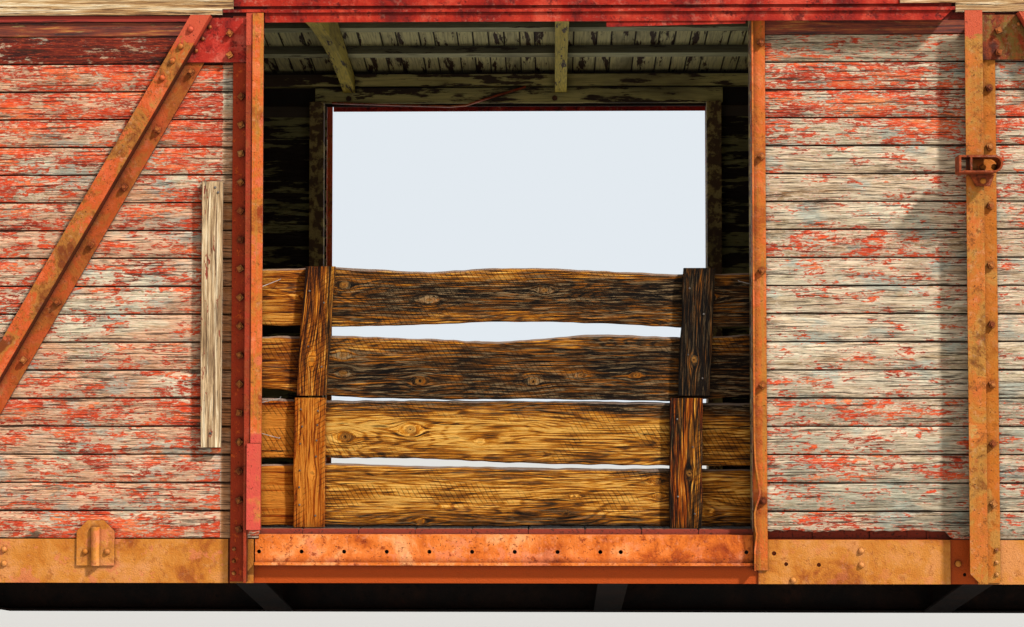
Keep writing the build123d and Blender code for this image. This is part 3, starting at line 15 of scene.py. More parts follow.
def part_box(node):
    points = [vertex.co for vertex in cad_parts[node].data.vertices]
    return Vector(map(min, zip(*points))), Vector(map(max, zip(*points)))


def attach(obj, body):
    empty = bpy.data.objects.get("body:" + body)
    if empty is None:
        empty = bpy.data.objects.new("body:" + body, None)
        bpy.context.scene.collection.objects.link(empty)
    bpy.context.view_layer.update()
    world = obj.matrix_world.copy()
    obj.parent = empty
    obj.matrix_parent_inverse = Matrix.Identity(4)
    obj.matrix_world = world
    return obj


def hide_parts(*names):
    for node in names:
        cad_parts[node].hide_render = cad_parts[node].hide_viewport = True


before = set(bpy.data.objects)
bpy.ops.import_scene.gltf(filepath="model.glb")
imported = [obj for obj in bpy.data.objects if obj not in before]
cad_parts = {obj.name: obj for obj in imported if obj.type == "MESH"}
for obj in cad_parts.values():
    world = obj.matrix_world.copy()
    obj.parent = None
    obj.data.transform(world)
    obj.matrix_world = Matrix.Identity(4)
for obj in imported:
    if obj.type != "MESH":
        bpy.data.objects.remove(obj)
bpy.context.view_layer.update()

bl_info = {
    "name": "Weathered boxcar",
    "version": (1, 0, 0),
    "blender": (4, 5, 0),
    "location": "3D View > Sidebar > Boxcar",
    "description": "Dresses the frame of an old wooden boxcar: boards, steel bracing, gate, roof and trucks",
    "category": "Object",
}

UP, NEAR, FAR = Vector((0, 0, 1)), Vector((0, -1, 0)), Vector((0, 1, 0))
BODY = "carbody"

# Places read from the frame
SIDE_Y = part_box("boards_far_left")[1].y
BOARD_T = SIDE_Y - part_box("boards_far_left")[0].y
SILL_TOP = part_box("boards_far_left")[0].z
BOARDS_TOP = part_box("boards_far_left")[1].z
BOARDS_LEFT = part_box("boards_far_left")[1].x
DOOR_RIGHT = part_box("boards_far_right")[0].x
HALF_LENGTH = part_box("boards_far_right")[1].x
PLATE_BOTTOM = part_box("top_strips")[1].z
INNER_Y, INNER_X = SIDE_Y - BOARD_T, HALF_LENGTH - BOARD_T

# Sizes of the bracing, as the frame has them
COURSES = 18
BOARD_PITCH = (BOARDS_TOP - SILL_TOP) / COURSES
BAR_FLANGE = 0.076
BAR_DEPTH = 0.076
BAR_WALL = 0.008
BRACE_GAP = 0.013
HEADER_BACK = 0.010
BRACE_TOP = PLATE_BOTTOM + 0.018
POST_X = (1.694, 3.440, 4.800)
CORNER_X = HALF_LENGTH - 0.020
# Panels: post at the brace's top, post at its foot, direction from top to foot
PANELS = ((POST_X[0], POST_X[1], 1), (POST_X[1], POST_X[2], 1), (CORNER_X, POST_X[2], -1))
# The nuts of a bar: how far from its edge, how many, and the height of a post's top one
NUT_LINE = 0.046
NUTS = 8
NUTS_TOP = 3.222
BRACE_NUT_PITCH = 0.310

# Roof sheets and trucks
SHEET_WIDTH = 0.610
SEAM_NAIL_PITCH = 0.14
HALF_WHEELBASE = 0.838
BOX_BOLT = 0.135 * 0.96

# Sockets of a colour Mix node
FACTOR, FIRST, SECOND, MIXED = 0, 6, 7, 2

# Where the shades of a finish lie in its pattern, from dark to light
WOOD_PLACES = (0.36, 0.45, 0.53, 0.60)
GREY_PLACES = (0.28, 0.44, 0.58, 0.74)
BAR_PLACES = (0.38, 0.45, 0.51, 0.57, 0.64)
STEEL_PLACES = (0.38, 0.46, 0.54, 0.63)


def linear(code):
    """An sRGB hex colour as linear RGBA."""
    channels = [int(code[i : i + 2], 16) / 255 for i in (1, 3, 5)]
    return tuple(c / 12.92 if c <= 0.04045 else ((c + 0.055) / 1.055) ** 2.4 for c in channels) + (1.0,)


def shades(places, colours):
    """A colour ramp's stops, from their places and a line of hex colours."""
    return list(zip(places, colours.split()))


def add(tree, kind, links=None, stops=None, out=0, **settings):
    """Adds a node with its settings and gives back one of its outputs, or the node itself if out is None.

    Links fill its inputs with other nodes' sockets, with values or with hex colours.
    """
    node = tree.nodes.new(kind if "Node" in kind else "ShaderNode" + kind)
    for name, value in settings.items():
        setattr(node, name, value)
    for key, value in (links or {}).items():
        if isinstance(value, bpy.types.NodeSocket):
            tree.links.new(value, node.inputs[key])
        else:
            coloured = isinstance(value, str) and value.startswith("#")
            node.inputs[key].default_value = linear(value) if coloured else value
    if stops:
        elements = node.color_ramp.elements
        elements[0].position, elements[1].position = stops[0][0], stops[-1][0]
        for place, _ in stops[1:-1]:
            elements.new(place)
        for element, (_, colour) in zip(elements, stops):
            element.color = linear(colour)
    return node if out is None or not node.outputs else node.outputs[out]


def new_finish(name):
    """A material with an empty tree."""
    material = bpy.data.materials.new(name)
    material.use_nodes = True
    material.node_tree.nodes.clear()
    return material, material.node_tree


def shaded(material, colour, roughness, parts=(), depth=0.0, specular=0.5):
    """Ends a finish with its shader. Parts are the (mask, weight) of its relief, whose depth is in metres."""
    tree = material.node_tree
    links = {"Base Color": colour, "Roughness": roughness, "Specular IOR Level": specular}
    if parts:
        height = weighted(tree, parts)
        links["Normal"] = add(tree, "Bump", {"Height": height, "Distance": depth, "Strength": 1.0})
    add(tree, "OutputMaterial", {"Surface": add(tree, "BsdfPrincipled", links)})
    return material


def coordinates(tree, kind="Object"):
    """Where a point of the surface lies, and its x, y and z. Of the kind Normal: which way it faces."""
    place = add(tree, "TexCoord", out=kind)
    return (place, *add(tree, "SeparateXYZ", {0: place}, out=None).outputs)


def pattern(tree, place, rate, detail=6.0, roughness=0.6, distortion=0.0, out=0):
    """Noise over a place. Rate is how fine it is, as one number or one for each axis."""
    if isinstance(rate, tuple):
        place, rate = add(tree, "Mapping", {"Vector": place, "Scale": rate}), 1.0
    links = {"Vector": place, "Scale": rate, "Detail": detail, "Roughness": roughness}
    return add(tree, "TexNoise", {**links, "Distortion": distortion}, out=out)


def patches(tree, place, rate, low, high, detail=6.0, roughness=0.6):
    """A mask of ragged patches: 0 where the pattern lies under low, 1 where it lies over high."""
    links = {"Value": pattern(tree, place, rate, detail, roughness), "From Min": low, "From Max": high}
    return add(tree, "MapRange", links, interpolation_type="SMOOTHSTEP")


def ranged(tree, value, start, end, low=0.0, high=1.0):
    """A value's place between start and end, as a number from low to high."""
    links = {"Value": value, "From Min": start, "From Max": end, "To Min": low, "To Max": high}
    return add(tree, "MapRange", links)


def product(tree, value, *factors):
    """Masks and numbers multiplied with each other."""
    for factor in factors:
        value = add(tree, "Math", {0: value, 1: factor}, operation="MULTIPLY")
    return value


def weighted(tree, parts, total=0.0):
    """A sum of (mask, weight) parts on top of a total."""
    for mask, weight in parts:
        total = add(tree, "Math", {0: mask, 1: weight, 2: total}, operation="MULTIPLY_ADD")
    return total


def from_middle(tree, value):
    """How far a coordinate lies from the middle, on either side."""
    return add(tree, "Math", {0: value}, operation="ABSOLUTE")


def layered(tree, base, layers):
    """Lays finishes over each other from the bottom up.

    Each layer is a mask, a colour, and any numbers or other masks that weaken it.
    """
    for mask, colour, *weaker in layers:
        links = {FACTOR: product(tree, mask, *weaker), FIRST: base, SECOND: colour}
        base = add(tree, "Mix", links, out=MIXED, data_type="RGBA")
    return base


def corner_shade_and_dirt(tree, reach):
    """A mask of corners, for painted shade and for the dirt that gathers there."""
    return ranged(tree, add(tree, "AmbientOcclusion", {"Distance": reach}, out="AO", samples=4), 0.95, 0.35)


def carried(tree, *names):
    """Values that a plank carries from its making: tone, age, knot, wane."""
    return [add(tree, "Attribute", out="Fac", attribute_name=name) for name in names]


def plank_grain(tree, turn=None):
    """Where a point lies in its plank: the plank's own attribute, or object coordinates turned along it."""
    if turn is None:
        grain = add(tree, "Attribute", out="Vector", attribute_name="grain")
    else:
        links = {"Vector": add(tree, "TexCoord", out="Object"), "Rotation": (0, 0, turn)}
        grain = add(tree, "Mapping", links)
    sway = pattern(tree, grain, (1.6, 9, 9), 2.0, 0.5, out="Color")
    return add(tree, "VectorMath", {0: sway, 1: (0.0, 0.03, 0.03), 2: grain}, operation="MULTIPLY_ADD")


# Finishes of wood. Rates run along the plank and across it: 40 is a band of growth every 25 mm, 130 a check
# every 8 mm, and 250 a fibre every 4 mm, which is coarser than real fibre, so that it shows.

# How well the red has held at each height of the side: height over the rail, share
PAINT_BY_HEIGHT = (
    (1.14, 0.42), (1.55, 0.50), (1.80, 0.42), (2.05, 0.36), (2.30, 0.46),
    (2.62, 0.25), (2.90, 0.50), (3.10, 0.84), (3.30, 0.68), (3.48, 0.48),
)


def siding_finish():
    """Old pine siding: silvered grain with open checks, under oxide red that has peeled to flakes."""
    material, tree = new_finish("Pine siding with peeling oxide red")
    grain = plank_grain(tree)
    place, x, y, z = coordinates(tree)
    (tone,) = carried(tree, "tone")

    # Bare wood: bands of early and late wood along the board, in broad patches of silver and brown
    bands = pattern(tree, grain, (1.5, 40, 40), 6.0, 0.68)
    weather = pattern(tree, grain, (1.1, 6, 6), 3.0)
    shade = weighted(tree, ((tone, 0.16), (weather, 0.30), (bands, 0.78)), -0.08)
    bare = shades((0.33, 0.41, 0.48, 0.55, 0.65), "#573A20 #A07E54 #C6B08A #E2CEA8 #F8EAC8")
    bare = add(tree, "ValToRGB", {"Fac": shade}, bare)
    checks = patches(tree, grain, (3.6, 130, 130), 0.55, 0.60, 6.0, 0.72)
    fibres = patches(tree, grain, (9, 250, 250), 0.44, 0.62, 4.0)
    scuffs = patches(tree, grain, (34, 190, 190), 0.52, 0.60, 5.0, 0.7)
    at_left = ranged(tree, x, 0.3, -1.2)

    # Where the paint has held: by height, by place and by board, and hardly on a strip left of the doorway.
    # A share is written as the grey that linear turns back into it.
    held = [
        ((height - SILL_TOP) / (BOARDS_TOP - SILL_TOP), "#" + f"{round(255 * share ** 0.4545):02X}" * 3)
        for height, share in PAINT_BY_HEIGHT
    ]
    by_height = add(tree, "ValToRGB", {"Fac": ranged(tree, z, SILL_TOP, BOARDS_TOP)}, held)
    broad = pattern(tree, place, (0.9, 0.9, 2.2), 4.0)
    strip = product(tree, ranged(tree, x, -1.822, -1.812), ranged(tree, x, -1.69, -1.70))
    flakes = pattern(tree, grain, (30, 98, 98), 9.0, 0.70, 0.35)
    clumps = pattern(tree, grain, (7, 20, 20), 5.0, 0.64)
    cover = (
        (at_left, 0.056), (broad, 0.26), (by_height, 0.13), (tone, -0.05),
        (strip, -0.17), (flakes, 0.7), (clumps, 0.62),
    )
    cover = weighted(tree, cover)
    paint = ranged(tree, cover, 0.886, 0.900)
    red = shades((0.36, 0.46, 0.54, 0.64), "#A4280C #DC3E14 #F2541E #F88E54")
    red = add(tree, "ValToRGB", {"Fac": pattern(tree, place, (3, 3, 16), 6.0, 0.7)}, red)

    # One board in dark red, and the worn, yellowed whitewash of the inside face
    kept = ranged(tree, tone, 1.4, 1.5)
    dark = layered(tree, "#360E05", [(ranged(tree, bands, 0.42, 0.58), "#8A2810"), (scuffs, "#BC4A22", 0.55)])
    wash = patches(tree, grain, (2.2, 13, 13), 0.50, 0.56, 7.0, 0.65)
    within = product(tree, *(
        add(tree, "Math", {0: from_middle(tree, reach), 1: inner + 0.004}, operation="LESS_THAN")
        for reach, inner in ((y, INNER_Y), (x, INNER_X))
    ))
    colour = layered(tree, bare, [
        (patches(tree, grain, (0.8, 7, 7), 0.56, 0.70, 5.0), "#80542C", 0.5),
        (ranged(tree, cover, 0.770, 0.845), "#F8EACC", 0.80),
        # Washed-down red flushes the left, cool grey lies all over, and slate grey low on the right
        (
            patches(tree, place, (2.6, 2.6, 6), 0.36, 0.56), "#F09A68",
            ranged(tree, at_left, 0.0, 1.0, 0.18, 0.62),
        ),
        (patches(tree, place, (3.6, 3.6, 8), 0.52, 0.62), "#A2B8AE", 0.58),
        (
            ranged(tree, x, 0.7, 0.8), "#8E9A88", ranged(tree, z, 1.95, 1.75),
            patches(tree, grain, (1.4, 9, 9), 0.40, 0.56), 0.55,
        ),
        # Damp patches, most of all on the left, and under the plate on the right an olive band, partly a
        # painted shadow of the door hood
        (
            patches(tree, place, (3, 3, 6.5), 0.61, 0.67, 6.0, 0.66), "#5E5C46",
            ranged(tree, at_left, 0.0, 1.0, 0.15, 0.60),
        ),
        # Dark olive band at the top on the right: an olive tint and a painted shadow of the door hood
        (ranged(tree, z, 3.34, 3.36), "#66582F", ranged(tree, at_left, 0.0, 0.1, 0.45, 0.0)),
        (ranged(tree, cover, 0.820, 0.880), "#E6A480", 0.62),
        (ranged(tree, cover, 0.866, 0.880), "#EC8A62", 0.85),
        (kept, "#6A5030", 0.50),
        (fibres, "#6A4426", 0.50),
        (paint, red, 0.94),
        (scuffs, "#F0D8B4", 0.42),
        (strip, "#A45C14", ranged(tree, z, 2.80, 2.70), 0.72),
        (kept, dark, ranged(tree, cover, 0.69, 0.76)),
        # Moss at the foot of the wall
        (
            ranged(tree, z, SILL_TOP + 0.095, SILL_TOP + 0.045), "#4E4C38",
            patches(tree, place, (3.4, 3.4, 9), 0.60, 0.64, 5.0), 0.85,
        ),
        (checks, "#38200F", 0.85),
        # Painted shade and dirt in the corners
        (corner_shade_and_dirt(tree, 0.035), "#331B0E", 0.80),
        (within, layered(tree, "#2A1C14", [(wash, "#8F8656")])),
    ])
    relief = ((checks, -1.0), (fibres, -0.3), (paint, 0.35), (bands, 0.7))
    return shaded(material, colour, 0.88, relief, 0.005, 0.3)


def lining_finish(name, turn, wash_colour, wood_colour, low, high, sides=0.0):
    """Pine under an old yellowed whitewash that has come off in patches. Sides: strength of the painted shade
    on the sides.
    """
    material, tree = new_finish(name)
    grain = plank_grain(tree, turn)
    wash = patches(tree, grain, (2.5, 16, 16), low, high, 7.0, 0.68)
    fibres = patches(tree, grain, (5, 110, 110), 0.42, 0.66, 4.0)
    stain = patches(tree, grain, (1.1, 3, 3), 0.52, 0.72, 4.0)
    # Painted shade on every face that does not face down
    side_shade = ranged(tree, coordinates(tree, "Normal")[3], -0.85, -0.5)
    colour = layered(tree, wood_colour, [
        (wash, wash_colour),
        (fibres, "#4A3A26", 0.35),
        (stain, "#3A2818", 0.55),
        # Painted shade on the sides
        (side_shade, "#241A10", sides),
        # Painted shade and dirt in the corners
        (corner_shade_and_dirt(tree, 0.05), "#1A120B", 0.8),
    ])
    return shaded(material, colour, 0.8, ((wash, 0.4), (fibres, -0.5)), 0.002)


def silvered_finish(name, turn, stops, specks="#8E3A22", speck_low=0.66, red_below=None, red_ends=False):
    """Bare wood silvered by sun and rain, with checks and specks of paint, or red low down or at the ends."""
    material, tree = new_finish(name)
    grain = plank_grain(tree, turn)
    _, _, y, z = coordinates(tree)
    bands = pattern(tree, grain, (2, 62, 62), 9.0, 0.74)
    checks = patches(tree, grain, (3, 85, 85), 0.58, 0.65, 5.0, 0.7)
    layers = [
        (patches(tree, grain, (2, 12, 12), 0.55, 0.68), "#5E3E22", 0.45),
        (patches(tree, grain, (7, 330, 330), 0.46, 0.60, 4.0), "#6A4A2C", 0.45),
        (patches(tree, grain, (14, 50, 50), speck_low, speck_low + 0.03, 7.0), specks),
        (patches(tree, grain, (1.3, 120, 120), 0.60, 0.62, 4.0), "#4A2814", 0.8),
    ]
    if red_below:
        below = ranged(tree, z, red_below + 0.001, red_below)
        layers.append((below, "#9C2A18", ranged(tree, bands, 0.34, 0.42)))
    if red_ends:
        layers.append((ranged(tree, from_middle(tree, y), INNER_Y - 0.03, INNER_Y), "#96341A"))
    # Checks, then painted shade and dirt in the corners
    layers += [(checks, "#3B2618", 0.8), (corner_shade_and_dirt(tree, 0.03), "#2E1E12", 0.6)]
    colour = layered(tree, add(tree, "ValToRGB", {"Fac": bands}, stops), layers)
    return shaded(material, colour, 0.85, ((checks, -1.0), (bands, 0.9)), 0.004)


def gate_finish():
    """Rough-sawn pine slabs, honey-coloured where sheltered and grey-brown where the weather reaches."""
    material, tree = new_finish("Rough-sawn pine slab")
    grain = plank_grain(tree)
    _, x, _, z = coordinates(tree)
    age, knot, wane, cleat = carried(tree, "age", "knot", "wane", "tone")
    # Lines of growth run as contours of a slow pattern, so they close to arches and part round the knots
    flow = product(tree, pattern(tree, grain, (0.75, 6.5, 6.5), 2.5, 0.42), 190.0)
    rings = ranged(tree, add(tree, "Math", {0: flow}, operation="SINE"), 0.1, 1.0)
    fibres = ranged(tree, pattern(tree, grain, (3.6, 170, 170), 9.0, 0.72), 0.40, 0.60)
    blotch = pattern(tree, grain, (3, 12, 12), 6.0, 0.66)
    streak = weighted(tree, [(cleat, 0.20)], 0.66)
    level = weighted(tree, ((age, 1.0), (rings, 0.26), (fibres, streak), (blotch, 1.25)), -1.10)
    wood = shades(
        (0.0, 0.14, 0.30, 0.46, 0.62, 0.80, 0.96), "#F4B858 #DC9028 #B06210 #784410 #4A2E12 #241608 #0E0804"
    )
    wood = add(tree, "ValToRGB", {"Fac": level}, wood)
    # Sheltered wood at the left end has gone red-brown, most of all low down
    red = product(tree, ranged(tree, x, -1.335, -1.350), ranged(tree, z, 1.800, 1.790, 0.40, 0.80))
    foxed = patches(tree, grain, (2.2, 16, 16), 0.46, 0.56)
    foxed = product(tree, foxed, cleat, ranged(tree, z, 1.800, 1.790, 0.0, 0.75))
    red_wood = shades((0.0, 0.30, 0.60, 0.90), "#D87A1C #B85208 #7A2C04 #2A0E04")
    red_wood = add(tree, "ValToRGB", {"Fac": level}, red_wood)
    # The saw's arcs: 24 mm apart, leaning, and only here and there
    sweep = add(tree, "Mapping", {"Vector": grain, "Rotation": (0, 0, -0.55)})
    sweep = {"Vector": sweep, "Scale": 15.0, "Distortion": 1.4, "Detail": 2.0, "Detail Scale": 0.9}
    arcs = add(tree, "TexWave", sweep, out="Fac", bands_direction="X")
    saw = product(tree, ranged(tree, arcs, 0.18, 0.03), patches(tree, grain, (1.6, 6, 6), 0.49, 0.58, 4.0))
    checks = patches(tree, grain, (1.7, 55, 55), 0.63, 0.67, 5.0, 0.7)
    # Knots: circles of wood, a dark rim and a darker heart
    circles = add(tree, "Math", {0: product(tree, knot, 34.0)}, operation="SINE")
    knot_wood = layered(tree, "#B0742E", [(ranged(tree, circles, -0.2, 0.9), "#54300F")])
    knot = weighted(tree, [(fibres, 0.30)], knot)
    heart = ranged(tree, knot, 0.74, 0.88)
    wane = ranged(tree, weighted(tree, [(blotch, 0.9)], wane), 1.10, 1.24)
    colour = layered(tree, wood, [
        # Old wood has gone silver, less so on the cleats
        (
            patches(tree, grain, (6, 110, 110), 0.52, 0.60, 8.0, 0.76), "#A8885E",
            ranged(tree, age, 0.25, 0.75), ranged(tree, cleat, 0.0, 1.0, 0.70, 0.20),
        ),
        (add(tree, "Math", {0: red, 1: foxed}, operation="MAXIMUM"), red_wood),
        (saw, "#1E130A", 0.68, ranged(tree, fibres, 0.0, 1.0, 0.55, 1.0)),
        (checks, "#1C120B"),
        (wane, layered(tree, "#8C7260", [(fibres, "#B29A86")]), 0.85),
        (ranged(tree, knot, 0.30, 0.50), knot_wood, 0.70),
        (heart, "#1A0E07"),
        # Painted shade and dirt in the corners
        (corner_shade_and_dirt(tree, 0.04), "#1C1008", 0.6),
    ])
    relief = ((checks, -1.2), (fibres, -0.9), (rings, 0.12), (saw, -0.4), (heart, -1.0))
    return shaded(material, colour, 0.85, relief, 0.004, 0.12)


def dark_red_finish():
    """A board whose dark red paint has mostly held, thin over the grain."""
    material, tree = new_finish("Pine board in dark oxide red")
    grain = plank_grain(tree)
    _, _, y, _ = coordinates(tree)
    worn = patches(tree, grain, (11, 90, 90), 0.58, 0.64, 9.0, 0.74)
    depth = pattern(tree, grain, (3, 46, 46), 9.0, 0.74)
    paint = shades((0.38, 0.47, 0.56, 0.66), "#2A0C04 #6A240C #8E3C14 #C08038")
    colour = layered(tree, add(tree, "ValToRGB", {"Fac": depth}, paint), [
        (worn, "#A88850", 0.65),
        # Painted shade and dirt in the corners
        (corner_shade_and_dirt(tree, 0.04), "#1E0C08", 0.7),
        (ranged(tree, from_middle(tree, y), INNER_Y + 0.006, INNER_Y + 0.004), "#3A2A18"),
    ])
    return shaded(material, colour, 0.7, ((worn, -0.5), (depth, 0.6)), 0.003)


# Finishes of metal. Rates are patches to the metre: 9 is a flush every 110 mm, 34 a speck every 30 mm, and 95
# a pit every 10 mm, which is coarser than real pitting, so that it shows.
def steel_finish(
    name, stops, blush, rust, recess=None, edge=0.0, top=None, inside=None, right=None, foot=None,
    pit_low=0.66, roughness=0.62, streak=0.25, pale=0.10,
):
    """Structural steel whose paint has chalked and gone over to rust: stops run from shade to light.

    Recess is (colour, strength, colour on the right) for the flange at the wall, edge is the strength of the
    maroon along the left doorpost, top is (height, colour) of the paint kept above a height, inside is the
    colour of whatever lies behind the boards' face, and right holds the stops for the right half of the car.
    Foot is (height, colour, colour of the runs) of a doorpost whose left foot has kept its paint. Streak is
    the strength of the runs of rust, and pale that of the chalked spots.
    """
    material, tree = new_finish(name)
    place, x, y, z = coordinates(tree)
    out_y = from_middle(tree, y)
    at_right = ranged(tree, x, 0.0, 0.01)
    broad = pattern(tree, place, 4.2, 10.0, 0.68, 0.4)
    paint = add(tree, "ValToRGB", {"Fac": broad}, stops)
    if right:
        paint = layered(tree, paint, [(at_right, add(tree, "ValToRGB", {"Fac": broad}, right))])
    stains = patches(tree, place, 17.0, 0.55, 0.64, 7.0, 0.72)
    pits = patches(tree, place, 95.0, pit_low - 0.03, pit_low + 0.02, 4.0, 0.7)
    specks = patches(tree, place, 34.0, 0.58, 0.62, 6.0, 0.75)
    layers = [
        (patches(tree, place, 9.0, 0.56, 0.60, 8.0, 0.7), blush, ranged(tree, x, 0.0, 0.01, 0.65, 0.30)),
        (patches(tree, place, 23.0, 0.54, 0.62, 9.0, 0.78), "#FFE0BC", pale),
        (stains, rust, 0.72),
        (specks, rust, 0.66),
        (patches(tree, place, (34, 34, 2.2), 0.50, 0.70, 5.0), rust, streak),
    ]
    if recess:
        level = from_middle(tree, coordinates(tree, "Normal")[2])
        outside = ranged(tree, out_y, SIDE_Y - 0.02, SIDE_Y)
        inner = product(tree, ranged(tree, out_y, SIDE_Y + 0.060, SIDE_Y + 0.012), outside)
        web = ranged(tree, out_y, SIDE_Y + 0.072, SIDE_Y + 0.066)
        door_post = product(tree, ranged(tree, x, -1.58, -1.60), ranged(tree, x, -1.80, -1.78))
        layers += [
            (inner, layered(tree, recess[0], [(at_right, recess[2])]), recess[1]),
            (inner, "#A62C06", door_post, 0.85),
            (inner, "#D85A1A", door_post, specks, 0.75),
            (door_post, "#8C2010", ranged(tree, out_y, SIDE_Y + 0.068, SIDE_Y + 0.072), edge),
            # Painted shade on the webs and edges that face along the wall, below the outer flange
            (ranged(tree, level, 0.5, 0.2), "#34100A", web, outside, 0.85),
        ]
    if foot:
        height, colour, run_colour = foot
        drips = patches(tree, place, (46, 46, 1.7), 0.50, 0.60, 6.0, 0.66)
        kept = ranged(tree, z, height + 0.01, height)
        layers += [
            (drips, run_colour, 0.55),
            (kept, colour, ranged(tree, x, 0.0, -0.1), ranged(tree, broad, 0.62, 0.54), 0.80),
        ]
    if top:
        height, colour = top
        ragged = weighted(tree, [(broad, 0.5)], z)
        layers.append((ranged(tree, ragged, height + 0.244, height + 0.256), colour, 0.85))
    if inside:
        behind = ranged(tree, out_y, SIDE_Y - 0.004, SIDE_Y - 0.007)
        short = ranged(tree, from_middle(tree, x), HALF_LENGTH - 0.05, HALF_LENGTH - 0.06)
        layers.append((behind, inside, short))
    # Pits, then painted shade and dirt in the corners
    layers += [(pits, "#3E170C", 0.8), (corner_shade_and_dirt(tree, 0.03), "#280E06", 0.85)]
    grit = patches(tree, place, 140.0, 0.3, 0.7, 3.0)
    relief = ((pits, -0.8), (grit, 0.35), (stains, -0.3), (broad, 1.2))
    return shaded(material, layered(tree, paint, layers), roughness, relief, 0.0025, 0.2)


def iron_finish(name, colours, roughness, places=(0.30, 0.50, 0.66, 0.80)):
    """Cast or forged iron under brown rust and grime."""
    material, tree = new_finish(name)
    place = add(tree, "TexCoord", out="Object")
    broad = pattern(tree, place, 9.0, 8.0, 0.68)
    scale = patches(tree, place, 48.0, 0.52, 0.66, 5.0, 0.7)
    rust = add(tree, "ValToRGB", {"Fac": broad}, shades(places, colours))
    colour = layered(tree, rust, [(scale, "#2B1810", 0.5)])
    return shaded(material, colour, roughness, ((scale, -0.6), (broad, 1.0)), 0.003)


FINISHES = {}


